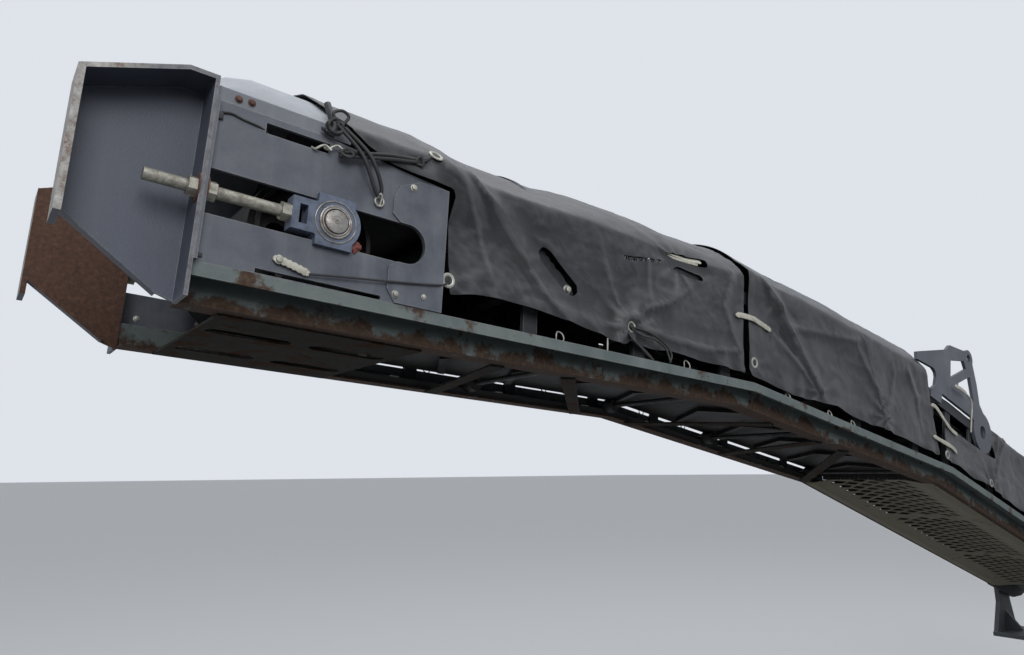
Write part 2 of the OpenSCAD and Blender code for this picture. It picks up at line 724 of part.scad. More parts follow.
// The guard's arch, folded along the lines through the middles of the diamonds
folds = floor(guard_half / (mesh_y / 2));
fold_y = concat([-guard_half], [for (i = [-folds : folds]) i * mesh_y / 2], [guard_half]);
function guard_w(y) = guard_rise * (1 - pow(y / guard_half, 2));
module guard(i) {
    color("#4c4632") section(0) translate([0, 0, -rail_h - seat_gap - guard_t]) difference() {
        across(guards[i][0], guards[i][1]) {
            polygon(concat([for (y = fold_y) [y, guard_w(y)]],
                reversed([for (y = fold_y) [y, guard_w(y) + guard_t]])));
            for (side = [-1, 1])
                translate([side * (guard_half + 17) - 20, 0]) square([40, guard_t]);
        }
        translate([0, 0, -guard_rise]) linear_extrude(3 * guard_rise) mesh_holes(guards[i][0], guards[i][1]);
    }
}
module guard_1() guard(0);
module guard_2() guard(1);
module guard_3() guard(2);

// Covers: hoops and tarpaulins
hoops = [for (i = [0 : 3]) [0, bay(0, i)], [1, 215], [1, bay(1, 1)], [1, bay(1, 2)],
    for (i = [0 : 2]) [2, bay(2, i)]];
crowns = [crown_root, crown_mid, crown_head];
tarp_half = half_w + 24;
hoop_t = 8;
function shoulder(s) = s == 0 ? upper_h + tarp_t + 1 : crowns[s] - 182;
module cover_hoops() {
    color("#3f4146") for (p = hoops) {
        shoulder_w = shoulder(p[0]) - (p[0] == 0 ? tarp_t : 0);
        section(p[0]) across(p[1] - 10, p[1] + 10) {
            arch(half_w, shoulder_w, crowns[p[0]] - tarp_t - seat_gap, hoop_t);
            for (side = [-1, 1])
                translate([side * (half_w - hoop_t / 2) - hoop_t / 2, upper_h + seat_gap])
                    square([hoop_t, shoulder_w - upper_h + 4]);
        }
    }
}
module tarp_walls(w_top) {
    for (side = [-1, 1])
        translate([side * (tarp_half - tarp_t / 2) - tarp_t / 2, hem_w]) square([tarp_t, w_top - hem_w]);
}
module tarp(s, u_low, u_high) {
    section(s) across(u_low, u_high) {
        arch(tarp_half, shoulder(s), crowns[s], tarp_t);
        tarp_walls(shoulder(s) + 6);
    }
}
// Half of the seam between two tarpaulins, cut along the mitre of a bend
seam = 12;
seam_past = 80;
module past_bend(s, side) {
    translate([starts[s][0], 0, starts[s][1]]) rotate([0, -(slopes[s] + half_bend(s)), 0])
        translate([side > 0 ? -seam : seam, 0, 0]) half_space(side);
}
// The head's tarpaulin laps over its cover and side plates as far as the lap's end
lap_half = lip_face + tarp_t + 1;
lap_w = cover_w + 7;
lap_start = plate_low_u - 17;
lap_end = head_u + 35;
module tarp_head() {
    color("#2b2c2f") difference() {
        union() {
            tarp(2, -seam_past, plate_low_u - 2);
            section(2) across(lap_start, lap_end) {
                arch(lap_half, lap_w, crown_head - tarp_t / 2, tarp_t);
                for (side = [-1, 1])
                    translate([side * (lap_half - tarp_t / 2) - tarp_t / 2, upper_h - 12])
                        square([tarp_t, lap_w - upper_h + 18]);
            }
        }
        past_bend(2, -1);
    }
}
// The middle tarpaulin's lower edge leans back over the lift brackets' arms
mid_edge_u = 22;
mid_edge_lean = 16;
module tarp_middle() {
    color("#2b2c2f") difference() {
        tarp(1, 0, len_mid + seam_past);
        past_bend(2, 1);
        section(1) translate([mid_edge_u, 0, 0]) rotate([0, mid_edge_lean, 0]) half_space(-1);
    }
}
// Between the brackets the root's tarpaulin drops inside them and runs on over the bend
tarp_low_u = 640;
bracket_low_u = lug_u - 110;
bracket_wall_w = 200;
module tarp_root() {
    color("#2b2c2f") {
        tarp(0, tarp_low_u, bracket_low_u);
        section(0) {
            across(bracket_low_u - 1, len_root + 150)
                arch(half_w - 8, upper_h + 2, crown_root - tarp_t / 2, tarp_t);
            across(bracket_low_u - 1, len_root - 8) tarp_walls(bracket_wall_w);
        }
    }
}

// Hydraulic hoses in the channel of the right lower rail, held by clips
hose_low = -rail_h + sheet_t + seat_gap;
module hydraulic_hoses() {
    color("#18181a") for (y = [-web_in + 0.5, -web_in + hose_d + 1.5])
        strip(hose_low, hose_low + hose_d, y, y + hose_d, rail_start, head_u - 60);
}
module hose_clips() {
    color("#9a9c9e") for (p = posts)
        section(p[0]) translate([p[1] + 60, -web_in, hose_low + hose_d])
            cube([30, 2 * hose_d + 4, 3]);
}

slew_bracket();
slew_yoke();
king_pin();
lift_pins();
lower_rail_left();
lower_rail_right();
upper_rail_left();
upper_rail_right();
posts_left();
posts_right();
cross_braces();
carry_idlers();
idler_brackets();
return_rollers();
head_plate_left();
head_plate_right();
slot_end_plates();
hood_left();
hood_right();
head_cover();
takeup_bearing_left();
takeup_bearing_right();
takeup_screws();
drive_motor();
tail_plate_left();
tail_plate_right();
tail_bearings();
receiving_hopper();
lift_bracket_left();
lift_bracket_right();
guard_1();
guard_2();
guard_3();
head_pan();
cover_hoops();
tarp_head();
tarp_middle();
tarp_root();
hydraulic_hoses();
hose_clips();
belt();
head_drum();
head_shaft();
tail_drum();
tail_shaft();
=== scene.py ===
# %% [markdown]
# # The discharge conveyor of a cold planer
#
# A cold planer mills the surface off a road and throws it onto a long belt. This lesson
# dresses the conveyor that carries the belt: a bent steel boom, a steel head with a big
# adjusting screw, and a charcoal tarpaulin in three lengths that keeps the dust in. The
# steel already stands in the frame as exact parts. What is left is everything that gives
# it its age: paint, rust, dust, cloth, rubber cords and small fasteners.

# %% Load the frame
import math

import bpy
import numpy as np
from mathutils import Matrix, Vector, noise


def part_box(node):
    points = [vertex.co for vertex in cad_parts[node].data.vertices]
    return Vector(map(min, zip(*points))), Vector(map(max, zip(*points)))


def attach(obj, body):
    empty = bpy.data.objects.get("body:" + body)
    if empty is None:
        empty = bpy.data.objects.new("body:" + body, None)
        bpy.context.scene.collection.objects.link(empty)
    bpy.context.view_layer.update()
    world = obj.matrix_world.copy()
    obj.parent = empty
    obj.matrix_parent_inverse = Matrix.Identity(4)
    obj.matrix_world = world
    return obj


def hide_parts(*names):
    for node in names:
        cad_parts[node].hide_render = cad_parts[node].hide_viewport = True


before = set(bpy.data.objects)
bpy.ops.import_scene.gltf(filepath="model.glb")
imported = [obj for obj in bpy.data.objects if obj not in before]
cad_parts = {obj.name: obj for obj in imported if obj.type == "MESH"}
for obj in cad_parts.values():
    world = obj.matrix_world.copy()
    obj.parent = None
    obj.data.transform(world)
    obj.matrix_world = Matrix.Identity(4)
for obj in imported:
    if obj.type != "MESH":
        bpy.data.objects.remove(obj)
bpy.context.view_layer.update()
print("steel parts in the frame:", len(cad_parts))

# %% [markdown]
# ## Places along the boom
#
# The boom has three straight sections that meet at two bends. It is far easier to say
# "one metre along the head section, 140 mm above the rail" than to give a point in
# space, so one function turns such a place into a point. `u` runs along a section
# toward the head, `y` is sideways with the left positive, and `w` is the height above
# the lower rail's top. The lengths are millimetres, as on a drawing. The lift pin fixes
# where the root section starts.

# %% Sections of the boom
MM = 0.001
ROOT, MIDDLE, HEAD = 0, 1, 2
SLOPES = (18.0, 11.0, 3.7)
LENGTHS = (2600, 1386)
LIFT_PIN = (520, 430)
PIN_ALONG, PIN_ABOVE = 150, 60


def along(slope):
    """The direction toward the head on a slope in degrees."""
    return Vector((math.cos(math.radians(slope)), 0, math.sin(math.radians(slope))))


def upward(slope):
    """The direction square to a slope, up from the rail."""
    return Vector((-math.sin(math.radians(slope)), 0, math.cos(math.radians(slope))))


pin = Vector((LIFT_PIN[0], 0, LIFT_PIN[1]))
starts = [pin - PIN_ALONG * along(SLOPES[ROOT]) - PIN_ABOVE * upward(SLOPES[ROOT])]
for slope, length in zip(SLOPES, LENGTHS):
    starts.append(starts[-1] + length * along(slope))


def place(section, u, y, w):
    """The point, in metres, at a place on a section in millimetres."""
    slope = SLOPES[section]
    return MM * (starts[section] + u * along(slope) + w * upward(slope) + Vector((0, y, 0)))


print("bends at x =", [round(MM * p.x, 3) for p in starts[1:]])

# %% [markdown]
# ## The camera
#
# The photograph looks up at the conveyor from beside its head, so near lines run steeply
# and the far end of the boom shrinks. The place, turn and lens below give back that
# view. The camera stands at eye height above the floor, which lies a little below the
# slew bracket.

# %% Camera
EYE = (6.2274, 1.7259, 1.1209)
EYE_HEIGHT = 1.54
YAW, PITCH, ROLL = -0.65329, 0.19789, -0.00927
LENS_MM, SENSOR_MM = 25.56, 36
GROUND_Z = EYE[2] - EYE_HEIGHT

look = Vector((math.sin(YAW) * math.cos(PITCH), -math.cos(YAW) * math.cos(PITCH), math.sin(PITCH)))
right = look.cross(Vector((0, 0, 1))).normalized()
top = right.cross(look)
right, top = (math.cos(ROLL) * right + math.sin(ROLL) * top, math.cos(ROLL) * top - math.sin(ROLL) * right)

camera = bpy.data.objects.new("camera", bpy.data.cameras.new("camera"))
bpy.context.scene.collection.objects.link(camera)
turned = Matrix((right, top, -look)).transposed().to_4x4()
camera.matrix_world = Matrix.Translation(EYE) @ turned
camera.data.sensor_width = SENSOR_MM
camera.data.lens = LENS_MM
bpy.context.scene.camera = camera
print("camera stands", round(EYE[2] - GROUND_Z, 2), "m above the floor")

# %% [markdown]
# ## Light and floor
#
# An overcast sky lights the conveyor: soft, from above, with no hard shadow. A pale world
# does most of it, one large lamp overhead gives the upper faces their lift, and one on
# the camera's side opens the shadows. The camera, gloss and glass see a paler world and
# floor through Light Path, so the object itself isn't lit any harder for it.

# %% Nodes and colours in one line
def node(tree, kind, inputs=None, stops=None, **settings):
    """Adds a shader node, sets its settings, and fills or links its sockets."""
    made = tree.nodes.new(kind)
    for key, value in settings.items():
        setattr(made, key, value)
    for key, value in (inputs or {}).items():
        if isinstance(value, bpy.types.NodeSocket):
            tree.links.new(value, made.inputs[key])
        else:
            made.inputs[key].default_value = value
    if stops:
        ramp = made.color_ramp.elements
        while len(ramp) < len(stops):
            ramp.new(0.5)
        for element, (at, colour) in zip(ramp, stops):
            element.position = at
            element.color = colour
    return made


def linear(hex_colour, alpha=1.0):
    """An sRGB hex value as the linear colour that Blender works in."""
    parts = [int(hex_colour[i:i + 2], 16) / 255 for i in (1, 3, 5)]
    return tuple(c / 12.92 if c <= 0.04045 else ((c + 0.055) / 1.055) ** 2.4 for c in parts) + (alpha,)


# %% Surfaces that the camera sees paler
def seen_directly(tree):
    """1 where the camera, gloss or glass looks at a surface, and 0 for light that bounces."""
    path = node(tree, "ShaderNodeLightPath").outputs
    direct = node(tree, "ShaderNodeMath", {0: path["Is Camera Ray"], 1: path["Is Glossy Ray"]},
                  operation="MAXIMUM")
    return node(tree, "ShaderNodeMath", {0: direct.outputs[0], 1: path["Is Transmission Ray"]},
                operation="MAXIMUM").outputs[0]


# %% World
scene = bpy.context.scene
scene.view_settings.view_transform = "Standard"
world = bpy.data.worlds.new("overcast")
scene.world = world
world.use_nodes = True
sky = world.node_tree
sky.nodes.clear()
backdrop = node(sky, "ShaderNodeBackground", {"Color": linear("#dfe3ea"), "Strength": 1.0})
soft_sky = node(sky, "ShaderNodeBackground", {"Color": linear("#e8ecf2"), "Strength": 0.62})
sky_mix = node(sky, "ShaderNodeMixShader",
               {0: seen_directly(sky), 1: soft_sky.outputs[0], 2: backdrop.outputs[0]})
node(sky, "ShaderNodeOutputWorld", {0: sky_mix.outputs[0]})
print("world:", world.name)

# %% Lamps
LAMPS = {
    "overhead": {"at": (3.0, 1.0, 7.5), "aim": (3.0, 0.0, 1.0), "size": 7.0, "watts": 205},
    "camera_side": {"at": (7.5, 6.0, 4.5), "aim": (4.0, 0.0, 1.2), "size": 4.0, "watts": 290},
}
for name, lamp in LAMPS.items():
    data = bpy.data.lights.new(name, "AREA")
    data.size = lamp["size"]
    data.energy = lamp["watts"]
    made = bpy.data.objects.new(name, data)
    scene.collection.objects.link(made)
    made.location = lamp["at"]
    made.rotation_euler = (Vector(lamp["aim"]) - Vector(lamp["at"])).to_track_quat("-Z", "Y").to_euler()
print("lamps:", ", ".join(LAMPS))

# %% [markdown]
# ## Small tools for modelling
#
# Each piece is made as by hand: a primitive at its size and place, shaped in edit mode,
# and finished with modifiers that are applied. An operator works on everything that is
# selected, so `start` clears the selection first. `finish` applies what is left, sets
# the piece's origin to the frame's own, says which body it moves with and prints how
# many faces it has.

# %% Selecting and shaping
def start():
    """Leaves edit mode and clears the selection."""
    if bpy.context.object and bpy.context.object.mode != "OBJECT":
        bpy.ops.object.mode_set(mode="OBJECT")
    bpy.ops.object.select_all(action="DESELECT")


def only(piece):
    """Selects one piece alone and makes it the active one."""
    start()
    piece.select_set(True)
    bpy.context.view_layer.objects.active = piece
    return piece


def apply_modifier(piece, kind, **settings):
    """Adds a modifier with its settings and applies it at once."""
    only(piece)
    modifier = piece.modifiers.new(kind.lower(), kind)
    for key, value in settings.items():
        setattr(modifier, key, value)
    bpy.ops.object.modifier_apply(modifier=modifier.name)
    return piece


# %% Finishing, copying and joining
def finish(piece, name, material, body="boom", smooth=35):
    """Applies a piece's place, names it, gives it its material and puts it on its body."""
    only(piece)
    bpy.ops.object.transform_apply(location=True, rotation=True, scale=True)
    if smooth:
        bpy.ops.object.shade_smooth_by_angle(angle=math.radians(smooth))
    piece.name = name
    piece.data.name = name
    piece.data.materials.clear()
    piece.data.materials.append(material)
    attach(piece, body)
    print(f"{name}: {len(piece.data.polygons)} faces on {body}")
    return piece


def copy_to(piece, matrix):
    """A copy with a mesh of its own, put at a place."""
    twin = piece.copy()
    twin.data = piece.data.copy()
    scene.collection.objects.link(twin)
    twin.matrix_world = matrix
    return twin


def join(pieces):
    """One piece out of several."""
    start()
    for piece in pieces:
        piece.select_set(True)
    bpy.context.view_layer.objects.active = pieces[0]
    if len(pieces) > 1:
        bpy.ops.object.join()
    return bpy.context.view_layer.objects.active


# %% Floor
FLOOR_SIZE = 600


def blank_material(name):
    """A material whose node tree is empty, and that tree."""
    material = bpy.data.materials.new(name)
    material.use_nodes = True
    material.node_tree.nodes.clear()
    return material, material.node_tree


start()
bpy.ops.mesh.primitive_plane_add(size=FLOOR_SIZE, location=(0, 0, GROUND_Z))
floor = bpy.context.object
floor.name = "floor"
floor_paint, tree = blank_material("pale_floor")
pale = node(tree, "ShaderNodeBsdfPrincipled", {"Base Color": linear("#d3d4d5"), "Roughness": 0.85})
dull = node(tree, "ShaderNodeBsdfPrincipled", {"Base Color": linear("#303133"), "Roughness": 0.9})
ground = node(tree, "ShaderNodeMixShader", {0: seen_directly(tree), 1: dull.outputs[0], 2: pale.outputs[0]})
node(tree, "ShaderNodeOutputMaterial", {0: ground.outputs[0]})
floor.data.materials.append(floor_paint)
print("floor at", round(GROUND_Z, 3), "m")

# %% [markdown]
# ## Height above the rail, as a pattern
#
# Rust starts where water and grit sit: along the lower edge of the frame. The frame is
# bent, so "low" isn't a constant height in space. The boom's top line is the lowest of
# three straight lines, one for each section, and the height above it comes from three
# multiply-adds and two minimums. Every weathered paint below can use it.

# %% Height above the rail
def height_above_rail(tree, position):
    """How far a point lies above the lower rail's top, wherever it is along the boom."""
    split = node(tree, "ShaderNodeSeparateXYZ", {0: position})
    lines = []
    for slope, begin in zip(SLOPES, starts):
        steep = math.tan(math.radians(slope))
        line = node(tree, "ShaderNodeMath",
                    {0: split.outputs["X"], 1: steep, 2: MM * (begin.z - steep * begin.x)},
                    operation="MULTIPLY_ADD")
        lines.append(line.outputs[0])
    low = node(tree, "ShaderNodeMath", {0: lines[0], 1: lines[1]}, operation="MINIMUM")
    low = node(tree, "ShaderNodeMath", {0: low.outputs[0], 1: lines[2]}, operation="MINIMUM")
    return node(tree, "ShaderNodeMath", {0: split.outputs["Z"], 1: low.outputs[0]},
                operation="SUBTRACT").outputs[0]


# %% [markdown]
# ## Weathered paint
#
# Construction paint is a thick satin alkyd on rolled steel. After years outside it is
# dull with dust, lighter where it is rubbed, chipped to bare metal at the edges and
# brown where water sits. One recipe makes each of those as a mask, and each painted
# material sets its own colour and its own amount of each. The sizes are real ones,
# matched one by one: clouds of dust 125 mm across, specks of 6 mm, chips of 18 mm, rust in
# patches of 70 mm with a grain of 11 mm, and orange peel of 2.6 mm, which is as fine as
# the render shows.

# %% Sizes of the patterns on paint
CLOUD_MM, SPECK_MM, CHIP_MM = 125, 6.25, 18.18
STREAK_MM = (38.46, 38.46, 454.5)
PATCH_MM, GRAIN_MM, PEEL_MM = 71.43, 11.11, 2.632
EDGE_RADIUS_MM = 4


def per_metre(size_mm):
    """The scale of a pattern whose features are so many millimetres across."""
    return 1000 / size_mm


# %% Dust on the paint, and painted top light
def under_dust_and_top_light(tree, place_in, colour, dust_colour, amount, streaks, settled_dust_and_top_light):
    """The paint's colour under clouds, runs and specks of dust and, where asked, lighter on upward faces as
    settled dust and painted top light; and the mask of it all.
    """
    clouds = node(tree, "ShaderNodeTexNoise",
                  {"Vector": place_in, "Scale": per_metre(CLOUD_MM), "Detail": 5.0, "Roughness": 0.62})
    tall = node(tree, "ShaderNodeMapping",
                {"Vector": place_in, "Scale": [per_metre(size) for size in STREAK_MM]})
    runs = node(tree, "ShaderNodeTexNoise", {"Vector": tall.outputs[0], "Scale": 1.0, "Detail": 4.0})
    dust_and_painted_light = node(tree, "ShaderNodeMapRange",
                {"Value": clouds.outputs["Fac"], "From Min": 0.35, "From Max": 0.75, "To Max": amount})
    streak = node(tree, "ShaderNodeMapRange",
                  {"Value": runs.outputs["Fac"], "From Min": 0.52, "From Max": 0.8, "To Max": streaks})
    dust_and_painted_light = node(tree, "ShaderNodeMath", {0: dust_and_painted_light.outputs[0], 1: streak.outputs[0]}, operation="ADD",
                use_clamp=True)
    # Upward faces turn toward the dust colour. This is partly dust that settles on top and partly painted top
    # light.
    if settled_dust_and_top_light:
        way_up = node(tree, "ShaderNodeSeparateXYZ", {0: node(tree, "ShaderNodeTexCoord").outputs["Normal"]})
        top_dust_and_light = node(tree, "ShaderNodeMapRange",
                      {"Value": way_up.outputs["Z"], "From Min": 0.3, "From Max": 0.8, "To Max": settled_dust_and_top_light})
        dust_and_painted_light = node(tree, "ShaderNodeMath", {0: dust_and_painted_light.outputs[0], 1: top_dust_and_light.outputs[0]}, operation="ADD",
                    use_clamp=True)
    painted = node(tree, "ShaderNodeMix", {0: dust_and_painted_light.outputs[0], 6: linear(colour), 7: linear(dust_colour)},
                   data_type="RGBA")
    specks = node(tree, "ShaderNodeTexNoise",
                  {"Vector": place_in, "Scale": per_metre(SPECK_MM), "Detail": 3.0, "Roughness": 0.7})
    speckle = node(tree, "ShaderNodeMapRange",
                   {"Value": specks.outputs["Fac"], "From Min": 0.66, "From Max": 0.76, "To Max": 0.55})
    painted = node(tree, "ShaderNodeMix",
                   {0: speckle.outputs[0], 6: painted.outputs[2], 7: linear(dust_colour)}, data_type="RGBA")
    return painted.outputs[2], dust_and_painted_light.outputs[0]


# %% [markdown]
# ## Edges and rust
#
# The edge mask comes from the Bevel node, which compares the true normal with a rounded
# one: where they differ, there is an edge, and a ragged noise keeps it from being an
# even line. Rust comes through in patches, with more of them low on the rail. The hood
# is a case of its own. Millings strike the faces that look inward, which rust evenly,
# and the rims of the front flanges, which are scuffed to bare steel.

# %% Edges rubbed bare
def rubbed_edges(tree, ragged, amount):
    """A mask of the edges where the paint is gone."""
    rounded = node(tree, "ShaderNodeBevel", {"Radius": EDGE_RADIUS_MM * MM}, samples=4)
    true_normal = node(tree, "ShaderNodeNewGeometry")
    match = node(tree, "ShaderNodeVectorMath", {0: rounded.outputs[0], 1: true_normal.outputs["Normal"]},
                 operation="DOT_PRODUCT")
    worn = node(tree, "ShaderNodeMapRange",
                {"Value": match.outputs["Value"], "From Min": 0.995, "From Max": 0.9})
    worn = node(tree, "ShaderNodeMath", {0: worn.outputs[0], 1: ragged}, operation="MULTIPLY")
    worn = node(tree, "ShaderNodeMapRange",
                {"Value": worn.outputs[0], "From Min": 0.3, "From Max": 0.5, "To Max": amount})
    return worn.outputs[0]


# %% Rust through the paint
def rust_patches(tree, place_in, amount, low_edge):
    """A mask of the rust: in patches, with more of them between two heights at the rail's foot."""
    patches = node(tree, "ShaderNodeTexNoise",
                   {"Vector": place_in, "Scale": per_metre(PATCH_MM), "Detail": 8.0, "Roughness": 0.68})
    spread = patches.outputs["Fac"]
    if low_edge is not None:
        low = node(tree, "ShaderNodeMapRange",
                   {"Value": height_above_rail(tree, place_in), "From Min": low_edge[0],
                    "From Max": low_edge[1], "To Min": 0.28, "To Max": 0.0})
        spread = node(tree, "ShaderNodeMath", {0: spread, 1: low.outputs[0]}, operation="ADD").outputs[0]
    rust = node(tree, "ShaderNodeMapRange",
                {"Value": spread, "From Min": 0.72 - 0.2 * amount, "From Max": 0.8 - 0.2 * amount})
    return rust.outputs[0]


# %% Faces scoured by the millings
HOOD_FRONT = (6.0, 6.06)
FLANGE_RIM = 0.384


def worn_by_millings(tree, place_in, rust, shown, ragged):
    """Rust on the faces that look inward, and bare scuffed steel on the front ones."""
    facing_way = node(tree, "ShaderNodeTexCoord").outputs["Normal"]
    normal = node(tree, "ShaderNodeSeparateXYZ", {0: facing_way})
    spot = node(tree, "ShaderNodeSeparateXYZ", {0: place_in})
    inward = node(tree, "ShaderNodeMath", {0: normal.outputs["Y"], 1: spot.outputs["Y"]},
                  operation="MULTIPLY")
    inward = node(tree, "ShaderNodeMapRange",
                  {"Value": inward.outputs[0], "From Min": -0.12, "From Max": -0.22})
    front = node(tree, "ShaderNodeMapRange",
                 {"Value": normal.outputs["X"], "From Min": 0.6, "From Max": 0.85})
    ahead = node(tree, "ShaderNodeMapRange",
                 {"Value": spot.outputs["X"], "From Min": HOOD_FRONT[0], "From Max": HOOD_FRONT[1]})
    front = node(tree, "ShaderNodeMath", {0: front.outputs[0], 1: ahead.outputs[0]}, operation="MULTIPLY")
    sideways = [node(tree, "ShaderNodeMath", {0: value}, operation="ABSOLUTE")
                for value in (spot.outputs["Y"], normal.outputs["Y"])]
    rim = node(tree, "ShaderNodeMath", {0: sideways[0].outputs[0], 1: FLANGE_RIM}, operation="GREATER_THAN")
    side = node(tree, "ShaderNodeMath", {0: sideways[1].outputs[0], 1: 0.7}, operation="GREATER_THAN")
    rim = node(tree, "ShaderNodeMath", {0: rim.outputs[0], 1: side.outputs[0]}, operation="MULTIPLY")
    worn_here = node(tree, "ShaderNodeMapRange", {"Value": ahead.outputs[0], "To Min": 0.25, "To Max": 0.95})
    rim = node(tree, "ShaderNodeMath", {0: rim.outputs[0], 1: worn_here.outputs[0]}, operation="MULTIPLY")
    front = node(tree, "ShaderNodeMath", {0: front.outputs[0], 1: rim.outputs[0]}, operation="MAXIMUM")
    bare = node(tree, "ShaderNodeValToRGB", {0: ragged},
                stops=[(0.36, linear("#6a5347")), (0.5, linear("#8f8c87")), (0.7, linear("#b4b3af"))])
    shown = node(tree, "ShaderNodeMix", {0: front.outputs[0], 6: shown, 7: bare.outputs[0]},
                 data_type="RGBA")
    rust = node(tree, "ShaderNodeMath", {0: rust, 1: inward.outputs[0]}, operation="MAXIMUM")
    return rust.outputs[0], shown.outputs[2]


# %% Weathered paint
def weathered_paint(name, colour, dust_colour, rust_amount, rust_low=None, edge="#8c8d8c", edge_amount=0.5,
                    roughness=0.5, dust_amount=0.5, rust_colour="#5a3d2c", rust_light="#8a6446",
                    streaks=0.25, millings=False, gloss=0.5, settled_dust_and_top_light=0.0):
    """Paint under dust and, where asked, painted top light, then bare edges, then rust, each laid over the
    one before.
    """
    material, tree = blank_material(name)
    place_in = node(tree, "ShaderNodeTexCoord").outputs["Object"]
    # Where asked, the dust mask also carries painted top light. It dulls the paint as well.
    painted, dust_and_painted_light = under_dust_and_top_light(tree, place_in, colour, dust_colour, dust_amount, streaks, settled_dust_and_top_light)
    ragged = node(tree, "ShaderNodeTexNoise", {"Vector": place_in, "Scale": per_metre(CHIP_MM),
                                               "Detail": 5.0, "Roughness": 0.7}).outputs["Fac"]
    worn = rubbed_edges(tree, ragged, edge_amount)
    shown = node(tree, "ShaderNodeMix", {0: worn, 6: painted, 7: linear(edge)}, data_type="RGBA").outputs[2]
    rust = rust_patches(tree, place_in, rust_amount, rust_low)
    grain = node(tree, "ShaderNodeTexNoise", {"Vector": place_in, "Scale": per_metre(GRAIN_MM),
                                              "Detail": 6.0, "Roughness": 0.75}).outputs["Fac"]
    rusty = node(tree, "ShaderNodeValToRGB", {0: grain},
                 stops=[(0.3, linear("#37261e")), (0.55, linear(rust_colour)), (0.8, linear(rust_light))])
    if millings:
        rust, shown = worn_by_millings(tree, place_in, rust, shown, ragged)
    shown = node(tree, "ShaderNodeMix", {0: rust, 6: shown, 7: rusty.outputs[0]}, data_type="RGBA")

    dull = node(tree, "ShaderNodeMapRange", {"Value": dust_and_painted_light, "To Min": roughness, "To Max": 0.85})
    dull = node(tree, "ShaderNodeMix", {0: rust, 2: dull.outputs[0], 3: 0.92}, data_type="FLOAT")
    peel = node(tree, "ShaderNodeTexNoise", {"Vector": place_in, "Scale": per_metre(PEEL_MM), "Detail": 1.0})
    bumps = node(tree, "ShaderNodeMix", {0: rust, 2: peel.outputs["Fac"], 3: grain}, data_type="FLOAT")
    bump = node(tree, "ShaderNodeBump", {"Height": bumps.outputs[0], "Strength": 0.35, "Distance": 0.0012})
    shader = node(tree, "ShaderNodeBsdfPrincipled",
                  {"Base Color": shown.outputs[2], "Roughness": dull.outputs[0], "Normal": bump.outputs[0],
                   "IOR": 1.5, "Specular IOR Level": gloss})
    node(tree, "ShaderNodeOutputMaterial", {0: shader.outputs[0]})
    return material


# %% Paints of the conveyor
plate_paint = weathered_paint("satin_alkyd_slate", "#3f434d", "#73777e", 0.15, dust_amount=0.6, streaks=0.4)
hood_paint = weathered_paint("satin_alkyd_hood", "#3d424f", "#626773", 0.12, dust_amount=0.35,
                             rust_colour="#523a2e", rust_light="#70523f", millings=True)
rail_paint = weathered_paint("alkyd_grey_green_rail", "#566060", "#7f8583", 0.75, rust_low=(-0.075, -0.02),
                             dust_amount=0.55, roughness=0.6, rust_colour="#4b3d33", rust_light="#6d5a49",
                             gloss=0.3)
frame_paint = weathered_paint("alkyd_dark_frame", "#2a2c30", "#505356", 0.45, roughness=0.62, gloss=0.25)
# The cover's upward faces are lighter. This is partly settled dust and partly painted top light.
cover_paint = weathered_paint("powder_coat_light_grey", "#5a5e66", "#a0a4aa", 0.1, dust_amount=0.25,
                              edge="#a4a6a8", settled_dust_and_top_light=0.85)
root_paint = weathered_paint("alkyd_machine_grey", "#33363b", "#5a5d60", 0.3, dust_amount=0.45)
rusted_brace = weathered_paint("mill_scale_brace", "#2b2825", "#4c4842", 1.0, dust_amount=0.4,
                               roughness=0.8, rust_colour="#4a3629", rust_light="#6b5240", gloss=0.06)
guard_paint = weathered_paint("alkyd_olive_guard", "#a39b84", "#b5ae98", 0.55, roughness=0.65,
                              rust_colour="#6a4a30", gloss=0.3)
print("paints:", [m.name for m in bpy.data.materials if "alkyd" in m.name])

# %% [markdown]
# ## Bare and plated steel
#
# Pins and the drums' shafts are turned bright steel that has gone brown in the open, the
# adjusting screws are zinc-plated and chalky, a few bolts have rusted right through
# their plating, and the bearing is a sprayed iron casting with a coarse skin. A metal
# keeps its default IOR. Its look is in its tint, its roughness and how far clouds of
# dirt have dulled it, so one recipe serves all of them.

# %% Clouds of dirt
def under_dirt(tree, place_in, clean, dirt, amount, size_mm, detail, band):
    """A clean colour under clouds of dirt, and the mask of the dirt."""
    clouds = node(tree, "ShaderNodeTexNoise",
                  {"Vector": place_in, "Scale": per_metre(size_mm), "Detail": detail, "Roughness": 0.7})
    mask = node(tree, "ShaderNodeMapRange",
                {"Value": clouds.outputs["Fac"], "From Min": band[0], "From Max": band[1], "To Max": amount})
    tint = node(tree, "ShaderNodeMix", {0: mask.outputs[0], 6: linear(clean), 7: linear(dirt)},
                data_type="RGBA")
    return tint.outputs[2], mask.outputs[0]


# %% Metals
SKIN_MM = 2.381


